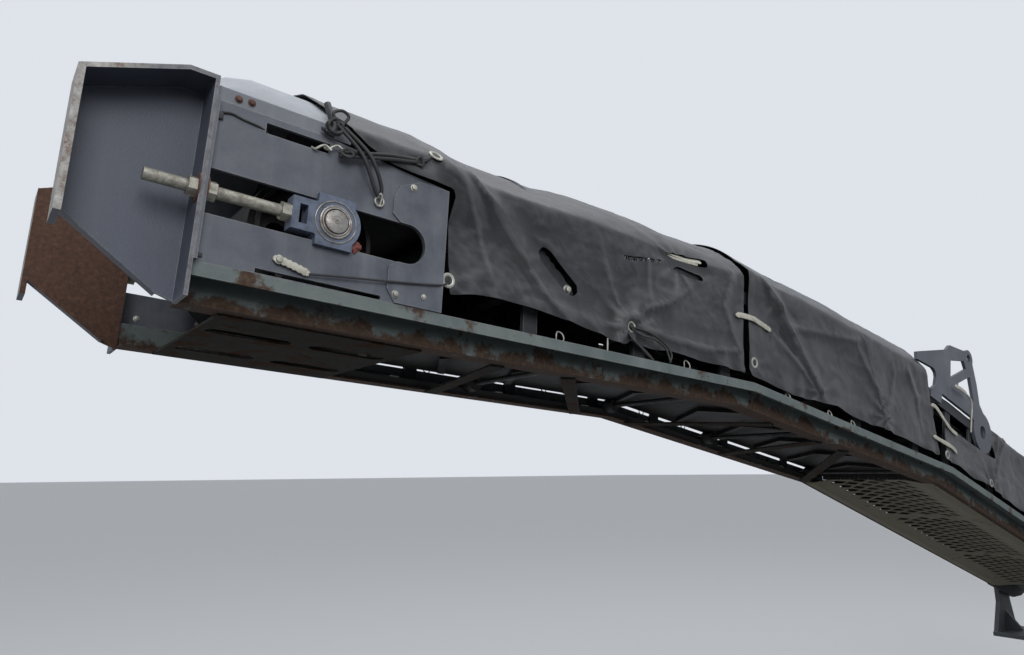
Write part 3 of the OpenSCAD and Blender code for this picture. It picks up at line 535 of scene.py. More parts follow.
def dull_metal(name, colour, dirt, roughness, dirt_amount, metallic=1.0, cloud_mm=16.67, bump_mm=0.3):
    """Metal under clouds of dirt, which are rougher than it and hardly metallic."""
    material, tree = blank_material(name)
    place_in = node(tree, "ShaderNodeTexCoord").outputs["Object"]
    tint, mask = under_dirt(tree, place_in, colour, dirt, dirt_amount, cloud_mm, 6.0, (0.42, 0.66))
    shine = node(tree, "ShaderNodeMapRange", {"Value": mask, "To Min": metallic, "To Max": 0.25 * metallic})
    rough = node(tree, "ShaderNodeMapRange", {"Value": mask, "To Min": roughness, "To Max": 0.9})
    fine = node(tree, "ShaderNodeTexNoise", {"Vector": place_in, "Scale": per_metre(SKIN_MM), "Detail": 3.0})
    bump = node(tree, "ShaderNodeBump",
                {"Height": fine.outputs["Fac"], "Strength": 0.4, "Distance": bump_mm * MM})
    shader = node(tree, "ShaderNodeBsdfPrincipled",
                  {"Base Color": tint, "Metallic": shine.outputs[0], "Roughness": rough.outputs[0],
                   "Normal": bump.outputs[0]})
    node(tree, "ShaderNodeOutputMaterial", {0: shader.outputs[0]})
    return material


zinc = dull_metal("zinc_plated_steel", "#a9a8a0", "#66625a", 0.5, 0.6)
screw_zinc = dull_metal("zinc_screw_weathered", "#8f8d84", "#5a554b", 0.5, 0.7)
rusted_bolt = dull_metal("rusted_bolt_steel", "#5f4238", "#3a2b26", 0.75, 0.6, metallic=0.2)
turned_steel = dull_metal("turned_steel_oxidised", "#8f8d8a", "#4c3a30", 0.38, 0.7)
roller_steel = dull_metal("roller_tube_steel", "#3c3c3d", "#242120", 0.55, 0.8)
bearing_iron = dull_metal("sprayed_iron_casting", "#5a6477", "#35383f", 0.6, 0.75, metallic=0.1,
                          cloud_mm=41.67, bump_mm=0.8)
metals = (zinc, screw_zinc, rusted_bolt, turned_steel, roller_steel, bearing_iron)
print("metals:", [m.name for m in metals])

# %% [markdown]
# ## Rubber and coated cloth
#
# The belt and hoses are carbon-black rubber, so they are close to black, with grey dust
# that never quite washes off. The tarpaulin is polyester cloth coated with PVC: the coat
# is smooth and a little shiny, the cloth's threads barely print through it, and pale
# dust lies in long smears. On top of the dust, the ridges of the folds get a painted
# highlight and their hollows a painted shade. Its pattern follows the cloth itself,
# through the sheet's own UV map in metres, so the weave turns with the folds. Real
# threads are finer than 2 mm, and they are drawn at that so that the render shows them.

# %% Rubber
PITS_MM = 3.333


def dusty_rubber(name, colour, dust_colour, dust_amount, cloud_mm=55.56, gloss=0.5):
    """Rubber with fine pits, under clouds of dust."""
    material, tree = blank_material(name)
    place_in = node(tree, "ShaderNodeTexCoord").outputs["Object"]
    tint, _ = under_dirt(tree, place_in, colour, dust_colour, dust_amount, cloud_mm, 7.0, (0.4, 0.75))
    fine = node(tree, "ShaderNodeTexNoise", {"Vector": place_in, "Scale": per_metre(PITS_MM), "Detail": 2.0})
    bump = node(tree, "ShaderNodeBump", {"Height": fine.outputs["Fac"], "Strength": 0.3, "Distance": 0.0006})
    shader = node(tree, "ShaderNodeBsdfPrincipled",
                  {"Base Color": tint, "Roughness": 0.6, "Normal": bump.outputs[0], "IOR": 1.52,
                   "Specular IOR Level": gloss})
    node(tree, "ShaderNodeOutputMaterial", {0: shader.outputs[0]})
    return material


belt_rubber = dusty_rubber("vulcanised_belt_rubber", "#151516", "#3b3937", 0.6, gloss=0.15)
hose_rubber = dusty_rubber("braided_hose_rubber", "#0f0f10", "#2b2b2d", 0.45)
pale_rubber = dusty_rubber("pale_strap_rubber", "#b7b5a9", "#77746a", 0.75, cloud_mm=16.67)
print("rubbers:", [m.name for m in (belt_rubber, hose_rubber, pale_rubber)])

# %% Dust on the cloth, and painted light on its folds
CLOTH_CLOUD_MM, SCUFF_MM, SOFT_FOLD_MM, THREAD_MM = 312.5, 38.46, 25, 2
SMEAR_MM = (333.3, 62.5, 1000)


def dust_and_fold_shading_on_cloth(tree, cloth):
    """Dust in clouds and long smears, plus painted highlight on the ridges of the folds and painted shade in
    their hollows.
    """
    clouds = node(tree, "ShaderNodeTexNoise",
                  {"Vector": cloth, "Scale": per_metre(CLOTH_CLOUD_MM), "Detail": 6.0, "Roughness": 0.62,
                   "Distortion": 0.4})
    slanted = node(tree, "ShaderNodeMapping", {"Vector": cloth, "Rotation": (0, 0, 0.5),
                                               "Scale": [per_metre(size) for size in SMEAR_MM]})
    smears = node(tree, "ShaderNodeTexNoise",
                  {"Vector": slanted.outputs[0], "Scale": 1.0, "Detail": 5.0, "Roughness": 0.6})
    dust_and_painted_light = node(tree, "ShaderNodeMath", {0: clouds.outputs["Fac"], 1: smears.outputs["Fac"]},
                operation="MULTIPLY")
    dust_and_painted_light = node(tree, "ShaderNodeMapRange",
                {"Value": dust_and_painted_light.outputs[0], "From Min": 0.18, "From Max": 0.42, "To Max": 0.75})
    # Ridges of the folds get more of the pale colour and hollows get less: painted highlight and painted
    # shade.
    ridge = node(tree, "ShaderNodeAttribute", attribute_name="ridge").outputs["Fac"]
    ridge = node(tree, "ShaderNodeMapRange",
                 {"Value": ridge, "From Min": -0.5, "From Max": 0.9, "To Min": -0.3, "To Max": 0.5})
    return node(tree, "ShaderNodeMath", {0: dust_and_painted_light.outputs[0], 1: ridge.outputs[0]}, operation="ADD",
                use_clamp=True).outputs[0]


# %% Tarpaulin cloth
def coated_cloth(name, colour, dust_colour):
    """Coated cloth with dust, scuffs and painted highlight and shade on its folds, whose weave barely prints
    through the coat.
    """
    material, tree = blank_material(name)
    cloth = node(tree, "ShaderNodeTexCoord").outputs["UV"]
    place_in = node(tree, "ShaderNodeTexCoord").outputs["Object"]
    # This mask is dust plus the folds' painted highlight and shade. It sets both the colour and the
    # roughness.
    dust_and_painted_light = dust_and_fold_shading_on_cloth(tree, cloth)
    tint = node(tree, "ShaderNodeMix", {0: dust_and_painted_light, 6: linear(colour), 7: linear(dust_colour)},
                data_type="RGBA")
    scuffs = node(tree, "ShaderNodeTexNoise",
                  {"Vector": cloth, "Scale": per_metre(SCUFF_MM), "Detail": 8.0, "Roughness": 0.8})
    scuff = node(tree, "ShaderNodeMapRange",
                 {"Value": scuffs.outputs["Fac"], "From Min": 0.68, "From Max": 0.74, "To Max": 0.5})
    tint = node(tree, "ShaderNodeMix", {0: scuff.outputs[0], 6: tint.outputs[2], 7: linear("#77787a")},
                data_type="RGBA")
    threads = node(tree, "ShaderNodeMapping", {"Vector": cloth, "Scale": (per_metre(THREAD_MM),) * 3})
    weave = node(tree, "ShaderNodeTexChecker", {"Vector": threads.outputs[0], "Scale": 1.0})
    soft = node(tree, "ShaderNodeTexNoise",
                {"Vector": place_in, "Scale": per_metre(SOFT_FOLD_MM), "Detail": 4.0})
    heights = node(tree, "ShaderNodeMix", {0: 0.75, 2: weave.outputs["Fac"], 3: soft.outputs["Fac"]},
                   data_type="FLOAT")
    bump = node(tree, "ShaderNodeBump", {"Height": heights.outputs[0], "Strength": 0.3, "Distance": 0.002})
    rough = node(tree, "ShaderNodeMapRange", {"Value": dust_and_painted_light, "To Min": 0.36, "To Max": 0.62})
    shader = node(tree, "ShaderNodeBsdfPrincipled",
                  {"Base Color": tint.outputs[2], "Roughness": rough.outputs[0], "Normal": bump.outputs[0],
                   "IOR": 1.5, "Specular IOR Level": 0.4, "Sheen Weight": 0.03, "Sheen Roughness": 0.5})
    node(tree, "ShaderNodeOutputMaterial", {0: shader.outputs[0]})
    return material


tarpaulin = coated_cloth("pvc_coated_polyester", "#202124", "#525457")
print("cloth:", tarpaulin.name)

# %% Finish of the steel parts
FINISHES = {
    rail_paint: ["lower_rail_left", "lower_rail_right"],
    frame_paint: ["upper_rail_left", "upper_rail_right", "posts_left", "posts_right", "idler_brackets",
                  "tail_plate_left", "tail_plate_right", "receiving_hopper", "cover_hoops", "drive_motor"],
    plate_paint: ["head_plate_left", "head_plate_right", "slot_end_plates", "lift_bracket_left",
                  "lift_bracket_right"],
    hood_paint: ["hood_left", "hood_right"],
    cover_paint: ["head_cover"],
    root_paint: ["slew_bracket", "slew_yoke"],
    guard_paint: ["guard_1", "guard_2", "guard_3"],
    rusted_brace: ["cross_braces", "head_pan"],
    screw_zinc: ["takeup_screws"],
    zinc: ["hose_clips"],
    turned_steel: ["king_pin", "lift_pins", "head_shaft", "tail_shaft"],
    roller_steel: ["carry_idlers", "return_rollers", "head_drum", "tail_drum"],
    bearing_iron: ["takeup_bearing_left", "takeup_bearing_right", "tail_bearings"],
    belt_rubber: ["belt"],
    hose_rubber: ["hydraulic_hoses"],
}
for material, names in FINISHES.items():
    for name in names:
        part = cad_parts[name]
        part.data.materials.clear()
        part.data.materials.append(material)
print("finishes:", len(FINISHES))

# %% [markdown]
# ## Cutting cloth to an outline
#
# A tarpaulin is drawn flat first. Its map has `u` along the boom and `s` around it: zero
# at the left rail, up the left wall, over the hoops and down to the right rail. The
# outline is a polygon on that map, and so is each hole. A square grid is laid over the
# map and every square is clipped to the outline, so the cut edges come out clean at any
# angle instead of in steps. The same clipping makes the tears and the window.

# %% Inside and outside of an outline
def distance_inside(outline, u, s):
    """Distance from an outline's edge, positive inside it."""
    ends = np.array(outline, float)
    begins = np.roll(ends, 1, axis=0)
    nearest = np.full(u.shape, 1e9)
    inside = np.zeros(u.shape, bool)
    for (u0, s0), (u1, s1) in zip(begins, ends):
        du, ds = u1 - u0, s1 - s0
        t = np.clip(((u - u0) * du + (s - s0) * ds) / (du * du + ds * ds + 1e-9), 0, 1)
        nearest = np.minimum(nearest, np.hypot(u - u0 - t * du, s - s0 - t * ds))
        crosses = (s0 > s) != (s1 > s)
        inside ^= crosses & (u < u0 + (s - s0) * du / (ds if ds else 1e-9))
    return np.where(inside, nearest, -nearest)


# %% Cutting a sheet to its outline
CELL_MM = 9.0


def cut_sheet(outline, holes, cell=CELL_MM):
    """The points (u, s) and faces of a sheet cut to an outline, with holes."""
    corners = np.array(outline, float)
    low, high = corners.min(axis=0) - cell, corners.max(axis=0) + cell
    grid_u, grid_s = np.meshgrid(np.arange(low[0], high[0] + cell, cell),
                                 np.arange(low[1], high[1] + cell, cell), indexing="ij")
    depth = distance_inside(outline, grid_u, grid_s)
    for hole in holes:
        depth = np.minimum(depth, -distance_inside(hole, grid_u, grid_s))
    points, faces, number = [], [], {}

    def point(a, b=None):
        """The number of a grid point, or of the cut between two of them, added once."""
        key = (a, b) if b is None or a < b else (b, a)
        if key not in number:
            number[key] = len(points)
            t = 0 if b is None else depth[a] / (depth[a] - depth[b])
            c = a if b is None else b
            points.append((grid_u[a] + t * (grid_u[c] - grid_u[a]), grid_s[a] + t * (grid_s[c] - grid_s[a])))
        return number[key]

    for i in range(grid_u.shape[0] - 1):
        for j in range(grid_u.shape[1] - 1):
            ring = [(i, j), (i + 1, j), (i + 1, j + 1), (i, j + 1)]
            if all(depth[c] <= 0 for c in ring):
                continue
            face = []
            for a, b in zip(ring, ring[1:] + ring[:1]):
                if depth[a] > 0:
                    face.append(point(a))
                if (depth[a] > 0) != (depth[b] > 0):
                    face.append(point(a, b))
            faces.append(face)
    return np.array(points), faces


# %% [markdown]
# ## The cover's cross-section
#
# Under each tarpaulin stand hoops. Across the boom the cloth goes straight up from its
# hem to a shoulder and then over in an arc. Over the head it also spreads by 43 mm to
# lap over the light grey cover, and over the root's end it narrows to pass between the
# lift brackets.

# %% Cross-section of the cover
HALF, LAP_HALF, BRACKET_HALF = 337, 380, 306
SHOULDERS = (331, 393, 363)
CROWNS = (470, 575, 545)
LAP_ALONG, LAP_UP = (1000, 1166), (215, 310)
BRACKET_ALONG, BRACKET_UP = (2060, 2084), (210, 320)
LAP_SHOULDER_DROP, LAP_CROWN_DROP, BRACKET_CROWN_DROP = 5, 3, 4


def ease(x, low, high):
    """A smooth step from 0 at a low value to 1 at a high one."""
    t = np.clip((x - low) / (high - low), 0, 1)
    return t * t * (3 - 2 * t)


def arc_of(half, rise):
    """Radius and half angle of the arc over a half width, with its rise."""
    radius = (half * half + rise * rise) / (2 * rise)
    return radius, np.arcsin(half / radius)


def girth(section):
    """How far it is around the cover, from the left rail to the right one."""
    radius, spread = arc_of(HALF, CROWNS[section] - SHOULDERS[section])
    return 2 * (SHOULDERS[section] + radius * spread)


# %% Places on the taut cover
def cover_point(section, u, s):
    """y and w of the taut cover at places (u, s), and its outward direction there."""
    shoulder, crown = SHOULDERS[section], CROWNS[section]
    turn = 0.5 * girth(section) - shoulder
    up = np.minimum(s, girth(section) - s)
    half = np.full(u.shape, float(HALF))
    low = np.full(u.shape, float(shoulder))
    if section == HEAD:
        lap = ease(u, *LAP_ALONG) * ease(up, *LAP_UP)
        half += lap * (LAP_HALF - HALF)
        low -= LAP_SHOULDER_DROP * lap
        crown = crown - LAP_CROWN_DROP * lap
    if section == ROOT:
        narrow = ease(u, *BRACKET_ALONG) * ease(up, *BRACKET_UP)
        half += narrow * (BRACKET_HALF - HALF)
        crown = crown - BRACKET_CROWN_DROP * narrow
    radius, spread = arc_of(half, crown - low)
    angle = spread * np.clip(1 - (up - shoulder) / turn, 0, 1)
    on_roof = up > shoulder
    y = np.where(on_roof, radius * np.sin(angle), half)
    w = np.where(on_roof, crown - radius + radius * np.cos(angle), up * low / shoulder)
    out_y = np.where(on_roof, np.sin(angle), 1.0)
    out_w = np.where(on_roof, np.cos(angle), 0.0)
    side = np.where(s < 0.5 * girth(section), 1.0, -1.0)
    return side * y, w, side * out_y, out_w


# %% [markdown]
# ## What pulls the cloth out of shape
#
# Cloth held by a few rubber cords never lies smooth. Three things shape it. Between two
# hoops the roof sags and the wall is sucked in. From each point that is pulled, folds
# run away like rays. And where it has been folded for storage it keeps sharp creases,
# each a ridge with a hollow beside it. Each of these is a small function of the map, and
# tables further on say where they are.

# %% Shape of a crease
def near_path(path, u, s):
    """Distance to a broken line, on which side of it, and how far along it (0 to 1)."""
    path = np.array(path, float)
    lengths = np.hypot(*np.diff(path, axis=0).T)
    best = np.full(u.shape, 1e9)
    side, part = np.zeros(u.shape), np.zeros(u.shape)
    done = 0.0
    for (u0, s0), (u1, s1), length in zip(path[:-1], path[1:], lengths):
        du, ds = (u1 - u0) / length, (s1 - s0) / length
        t = np.clip((u - u0) * du + (s - s0) * ds, 0, length)
        away = np.hypot(u - u0 - t * du, s - s0 - t * ds)
        closer = away < best
        best = np.where(closer, away, best)
        side = np.where(closer, np.sign((u - u0) * ds - (s - s0) * du), side)
        part = np.where(closer, (done + t) / lengths.sum(), part)
        done += length
    return best, side, part


CREASE_REACH, PULL_EYE, CRUMPLE_SHAPE = 400, 18, 0.7


def crease(u, s, height, near, far, hollow, fade, dies_out, path):
    """A ridge along a path, steep on one side and with a hollow on the other."""
    away, side, part = near_path(path, u, s)
    strength = fade[0] + (fade[1] - fade[0]) * part
    if dies_out:
        strength = strength * (1 - 0.9 * ease(s, *dies_out))
    ends = np.exp(-np.square(away / CREASE_REACH))
    steep = np.exp(-away / near)
    gentle = (1 + hollow) * np.exp(-away / far) - hollow * np.exp(-np.square((away - 1.6 * far) / far))
    return height * strength * ends * np.where(side > 0, gentle, steep)


# %% Shapes of pulls, dents and crumples
def pull(u, s, at, reach, height, rays, turn):
    """Folds that run away from a point where the cloth is pulled."""
    du, ds = u - at[0], s - at[1]
    away = np.hypot(du, ds) + 1e-6
    angle = np.arctan2(ds, du)
    wave = 0.5 + 0.5 * np.cos(rays * angle + turn + 1.2 * np.sin(2 * angle))
    return height * wave ** 2 * np.exp(-away / reach) * (1 - np.exp(-away / PULL_EYE))


def dent(u, s, at, long, tall, depth):
    """A soft hollow where nothing stands behind the cloth."""
    return -depth * np.exp(-np.square((u - at[0]) / long) - np.square((s - at[1]) / tall))


def crumple(u, s, size, seed):
    """Soft random folds, so many millimetres across."""
    values = [noise.noise((a / size, b / (CRUMPLE_SHAPE * size), seed)) for a, b in zip(u, s)]
    return 1 - 2 * np.abs(np.array(values))


# %% [markdown]
# ## The three tarpaulins
#
# Each is read off the photograph: where its hem rises and falls, how its ends are cut,
# the long slot with a bolt behind it, the torn window near the first seam, and the
# creases. The right side can't be seen, so it gets the same hem, and the same folds a
# little weaker and shifted. A crease's row gives its height, how far its two flanks
# reach, its hollow, its strength at both ends, the heights between which it dies out,
# and its path. A pull's row gives its point, reach, height, number of rays and turn.

# %% Hems
HEM_STEP = 24.0
HEM_SPANS = {HEAD: (0, 1104), MIDDLE: (36, 1370), ROOT: (642, 2586)}
HEMS = {
    HEAD: [(6, 36), (30, 36), (110, 40), (234, 42), (366, 48), (450, 40), (528, 52), (546, 36), (618, 48),
           (740, 64), (840, 72), (950, 80), (1038, 78), (1128, 60)],
    MIDDLE: [(42, 42), (200, 46), (340, 50), (504, 54), (620, 44), (738, 48), (850, 58), (954, 48),
             (1060, 34), (1158, 30), (1270, 38), (1374, 36)],
    ROOT: [(640, 52), (900, 44), (1150, 56), (1400, 42), (1700, 50), (1950, 46), (2136, 60), (2300, 44),
           (2450, 50), (2592, 40)],
}


def hem_line(section):
    """The left hem of a section's sheet, from its heights at a few places."""
    first, last = HEM_SPANS[section]
    places = np.arange(first, last + 1, HEM_STEP)
    u, w = np.array(HEMS[section], float).T
    return list(zip(places, np.interp(places, u, w)))


def mirrored(section, line):
    """The same line on the right side, run through backward."""
    return [(u, girth(section) - s) for u, s in reversed(line)]


# %% Cut ends
MITRE_STEP = 30
SEAM_LEAN = 0.5 * (SLOPES[MIDDLE] - SLOPES[HEAD])


def mitre_line(section, u_start, lean, trim):
    """An end cut in a plane that leans over: points from one hem to the other."""
    around = np.arange(trim, girth(section) - trim + MITRE_STEP, MITRE_STEP, dtype=float)
    w = cover_point(section, np.zeros(around.shape), around)[1]
    return [(u_start + height * math.tan(math.radians(lean)), s) for s, height in zip(around, w)]


print("the cut at the seam leans by", round(SEAM_LEAN, 2), "degrees")

# %% Sag, hollows and openings
ROOF_SAG = {
    HEAD: [(-30, -4), (120, -10), (250, -10), (342, -4), (486, -2), (594, -3), (714, -6), (834, -22),
           (930, -26), (1038, -24), (1128, -12), (1250, -5), (1476, -6)],
    MIDDLE: [(0, 0), (324, 0), (570, -6), (810, -2), (1002, -10), (1194, -30), (1300, -28), (1386, -24)],
    ROOT: [(640, -4), (700, 0), (925, -14), (1150, 0), (1375, -16), (1600, 0), (1825, -14), (2050, 0),
           (2300, -6), (2750, -4)],
}
WALL_HOLLOW = {
    HEAD: [(0, 3), (150, 8), (460, 6), (660, 12), (860, 10), (1000, 14), (1150, 2)],
    MIDDLE: [(0, 4), (215, 5), (420, 9), (640, 3), (880, 13), (1100, 6), (1250, 10), (1386, 2)],
    ROOT: [(640, 2), (700, 3), (925, 12), (1150, 3), (1375, 12), (1600, 3), (1825, 11), (2050, 3), (2600, 4)],
}
SLOT = [(857, 238), (841, 255), (819, 248), (723, 171), (721, 151), (738, 138), (759, 141), (853, 217)]
WINDOW = [(366, 364), (300, 380), (190, 392), (160, 388), (168, 352), (230, 346), (318, 346), (352, 352)]
TEAR = [(556, 300), (540, 288), (500, 294), (468, 303), (420, 312), (366, 326), (362, 332), (420, 321),
        (480, 311), (520, 303)]
SLIT = [(330, 318), (300, 326), (250, 322), (196, 318), (190, 300), (240, 298), (300, 303)]
HEAD_OPENINGS = [SLOT, WINDOW, TEAR, SLIT]
RINGS = [(HEAD, 1212, 366), (HEAD, 1134, 92), (HEAD, 528, 92), (MIDDLE, 1350, 80), (ROOT, 2578, 62),
         (ROOT, 2136, 74), (ROOT, 1500, 70), (ROOT, 900, 70)]
print("openings in the head tarpaulin:", len(HEAD_OPENINGS))

# %% Creases
CREASES = {
    HEAD: [
        (17, 7, 44, 0.8, (1.0, 0.25), (300, 392),
         [(1140, 392), (1086, 348), (1020, 312), (930, 222), (850, 126), (770, 70)]),
        (17, 10, 46, 0.5, (1.0, 0.15), None, [(528, 92), (470, 150), (354, 196), (250, 268)]),
        (11, 9, 30, 0.5, (1.0, 0.5), None, [(528, 92), (380, 84), (198, 78), (60, 96)]),
        (7, 16, 30, 0.3, (1.0, 0.2), None, [(528, 92), (590, 200), (640, 330)]),
        (8, 22, 36, 0.4, (1.0, 0.4), None, [(1212, 362), (1130, 330), (1060, 250), (1010, 130)]),
        (8, 14, 26, 0.4, (1.0, 0.6), None, [(60, 340), (96, 240), (40, 120)]),
        (4, 6, 12, 0.4, (1.0, 0.4), None, [(450, 306), (444, 156)]),
        (6, 14, 22, 0.2, (0.5, 0.5), None, [(700, 96), (800, 100), (900, 96)]),
    ],
    MIDDLE: [
        (18, 8, 46, 0.8, (1.0, 0.7), (320, 410), [(1330, 400), (1146, 240), (972, 78)]),
        (8, 14, 26, 0.4, (0.5, 1.0), None, [(1230, 210), (1100, 150), (1010, 86)]),
        (14, 30, 9, 0.8, (0.8, 1.0), None, [(650, 372), (590, 250), (510, 84)]),
        (8, 16, 26, 0.4, (0.4, 1.0), None, [(700, 330), (560, 180), (512, 90)]),
        (9, 12, 26, 0.4, (1.0, 0.4), None, [(505, 92), (420, 200), (400, 300)]),
        (6, 10, 30, 0.6, (0.9, 0.9), None, [(1128, 276), (960, 306), (708, 348)]),
        (7, 14, 26, 0.4, (1.0, 0.4), None, [(300, 330), (220, 240), (180, 120)]),
    ],
    ROOT: [
        (11, 12, 34, 0.6, (0.5, 1.0), None, [(1990, 330), (2060, 200), (2136, 76)]),
        (9, 14, 36, 0.5, (0.9, 0.5), None, [(1420, 330), (1500, 200), (1580, 80)]),
        (10, 14, 36, 0.5, (1.0, 0.5), None, [(1250, 80), (1160, 200), (1100, 330)]),
        (8, 14, 30, 0.5, (1.0, 0.5), None, [(880, 330), (800, 180), (740, 70)]),
    ],
}
print("creases:", sum(len(rows) for rows in CREASES.values()))

# %% Pulls and dents
PULLS = {
    HEAD: [((528, 90), 90, 11, 7, 0.4), ((1134, 90), 70, 5, 5, 0.0), ((1212, 366), 80, 6, 5, 1.0),
           ((310, 330), 100, 7, 9, 0.3)],
    MIDDLE: [((972, 78), 80, 9, 7, 0.8), ((510, 96), 80, 9, 8, 0.2), ((1350, 78), 60, 5, 5, 0.0)],
    ROOT: [((2136, 72), 90, 8, 7, 0.0), ((2586, 60), 60, 4, 5, 0.0)],
}
DENTS = {
    HEAD: [((300, 345), 150, 60, 22)],
    MIDDLE: [((880, 270), 170, 80, 10)],
    ROOT: [],
}


def folds(section, u, s):
    """Creases, pulls and dents of a section's tarpaulin, as they lie on its left side."""
    lift = np.zeros(u.shape)
    for shape, table in ((crease, CREASES), (pull, PULLS), (dent, DENTS)):
        for row in table[section]:
            lift += shape(u, s, *row)
    return lift


print("pulls:", sum(len(rows) for rows in PULLS.values()))

# %% How far the cloth stands off
RIGHT_SHARE, RIGHT_SHIFT = 0.8, 70
ROOF_START, ROOF_FULL = -40, 120
WALL_FOOT, WALL_TRIM = 50, 30
HEM_START, HEM_FADE, HEM_WAVE, HEM_PITCH, HEM_DRIFT = 45, 55, 4, 21, 83
CRUMPLES = ((3.2, 190, 1.5), (1.6, 70, 4.5), (0.6, 26, 7.5))
RING_REACH, RING_SEAT = 30, 6
DEEPEST, EDGE_WIDTH, EDGE_LIFT = -15, 26, 1.2


def drape(section, u, s, edge):
    """How far the cloth stands off the taut cover, outward positive."""
    around = girth(section)
    up = np.minimum(s, around - s)
    left = s < 0.5 * around
    shoulder = SHOULDERS[section]
    roof = ease(up, shoulder + ROOF_START, shoulder + ROOF_FULL)
    lift = roof * np.interp(u, *np.array(ROOF_SAG[section], float).T)
    hollow = np.interp(u, *np.array(WALL_HOLLOW[section], float).T)
    lift -= hollow * np.square(np.sin(np.pi * np.clip((up - WALL_FOOT) / (shoulder - WALL_TRIM), 0, 1)))
    lift += np.where(left, folds(section, u, s), RIGHT_SHARE * folds(section, u + RIGHT_SHIFT, around - s))
    hem = np.exp(-np.maximum(up - HEM_START, 0) / HEM_FADE) * (1 - roof)
    waves = np.sin(u / HEM_PITCH + 2.5 * np.sin(u / HEM_DRIFT) + np.where(left, 0, 2))
    lift += HEM_WAVE * hem * waves
    for height, size, seed in CRUMPLES:
        lift += height * crumple(u, s, size, seed + section)
    for ring_section, ring_u, ring_s in RINGS:
        for at_s in (ring_s, around - ring_s):
            if ring_section == section:
                clamp = np.exp(-(np.hypot(u - ring_u, s - at_s) / RING_REACH) ** 4)
                lift = lift * (1 - clamp) + RING_SEAT * clamp
    return np.maximum(lift, DEEPEST) + EDGE_LIFT * (edge < EDGE_WIDTH)


# %% Shape of each tarpaulin
CLOTH_THICK, RIDGE_REACH, RIDGE_FULL = 1.8, 14, 1.6


def tarpaulin_sheet(name, section, outline, holes, replaced):
    """One sheet: cut flat, draped, and given its UV map, a mask of its ridges and hollows for painted
    highlight and shade, and its thickness.
    """
    points, faces = cut_sheet(outline, holes)
    u, s = points.T
    edge = distance_inside(outline, u, s)
    y, w, out_y, out_w = cover_point(section, u, s)
    lift = drape(section, u, s, edge)
    mesh = bpy.data.meshes.new(name)
    shaped = np.array([u, y + lift * out_y, w + lift * out_w]).T.tolist()
    mesh.from_pydata([place(section, *p) for p in shaped], [], faces)
    flat_map = mesh.uv_layers.new(name="cloth")
    numbers = np.empty(len(mesh.loops), int)
    mesh.loops.foreach_get("vertex_index", numbers)
    flat_map.data.foreach_set("uv", (MM * points[numbers]).ravel())
    # How far each point stands above its neighbours, kept for the painted highlight on ridges and the painted
    # shade in hollows.
    beside = [drape(section, u + RIDGE_REACH * a, s + RIDGE_REACH * b, edge)
              for a, b in ((1, 0), (-1, 0), (0, 1), (0, -1))]
    raised_for_fold_shading = np.clip((lift - np.mean(beside, axis=0)) / RIDGE_FULL, -1, 1)
    mesh.attributes.new("ridge", "FLOAT", "POINT").data.foreach_set("value", raised_for_fold_shading.astype(np.float32))
    sheet = bpy.data.objects.new(name, mesh)
    scene.collection.objects.link(sheet)
    apply_modifier(sheet, "SOLIDIFY", thickness=CLOTH_THICK * MM, offset=-1)
    finish(sheet, name, tarpaulin, smooth=70)
    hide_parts(replaced)
    return sheet


# %% Tarpaulin over the head
front = [(1128, 60), (1138, 180), (1148, 292), (1160, 305), (1236, 307), (1320, 314), (1380, 336),
         (1416, 360), (1458, 402), (1474, 440), (1478, 486)]
head_outline = hem_line(HEAD) + front + mirrored(HEAD, front) + mirrored(HEAD, hem_line(HEAD)) + \
    mitre_line(HEAD, 14, -SEAM_LEAN, 60)[::-1]
tarpaulin_sheet("tarpaulin_head", HEAD, head_outline, HEAD_OPENINGS, "tarp_head")

# %% Tarpaulin over the middle
BRACKET_LEAN = 16
middle_outline = hem_line(MIDDLE) + mitre_line(MIDDLE, 1372, SEAM_LEAN, 50) + \
    mirrored(MIDDLE, hem_line(MIDDLE)) + mitre_line(MIDDLE, 24, BRACKET_LEAN, 60)[::-1]
tarpaulin_sheet("tarpaulin_middle", MIDDLE, middle_outline, [], "tarp_middle")

# %% Tarpaulin over the root
tongue = [(2590, 196), (2150, 198), (2082, 206), (2076, 240), (2080, 330), (2120, 338), (2746, 338)]
root_outline = hem_line(ROOT) + tongue + mirrored(ROOT, tongue) + mirrored(ROOT, hem_line(ROOT))
tarpaulin_sheet("tarpaulin_root", ROOT, root_outline, [], "tarp_root")

# %% [markdown]
# ## Rings, cords and straps
#
# The cloth is tied down by hand: punched rings along its edges, black rubber cords with
# steel hooks, a few pale rubber straps across the seams. A cord is a curve through a few
# points with a round section. A strap is a flat band whose face turns with the cloth.
# `on_cloth` finds a point on the folded cloth, so each ring sits on its real surface,
# and `both_sides` makes a table of cords on the left side and again on the right.

# %% Points on the cloth
def on_cloth(section, u, s, off=0.0, side=1):
    """A point on the draped cloth and the direction away from it; side -1 mirrors it to the right."""
    at_u, at_s = np.array([float(u)]), np.array([float(s if side > 0 else girth(section) - s)])
    y, w, out_y, out_w = (float(v[0]) for v in cover_point(section, at_u, at_s))
    far_from_edge = np.array([100.0])
    lift = float(drape(section, at_u, at_s, far_from_edge)[0]) + off
    outward = Vector((0, out_y, 0)) + out_w * upward(SLOPES[section])
    return place(section, u, y + lift * out_y, w + lift * out_w), outward


def facing(at, outward, turn=0.0):
    """A matrix that puts a piece at a point with its Z along a direction."""
    return Matrix.Translation(at) @ outward.to_track_quat("Z", "Y").to_matrix().to_4x4() @ \
        Matrix.Rotation(turn, 4, "Z")


def sideways(side):
    """The direction out of a side, 1 for the left one and -1 for the right one."""
    return Vector((0, side, 0))


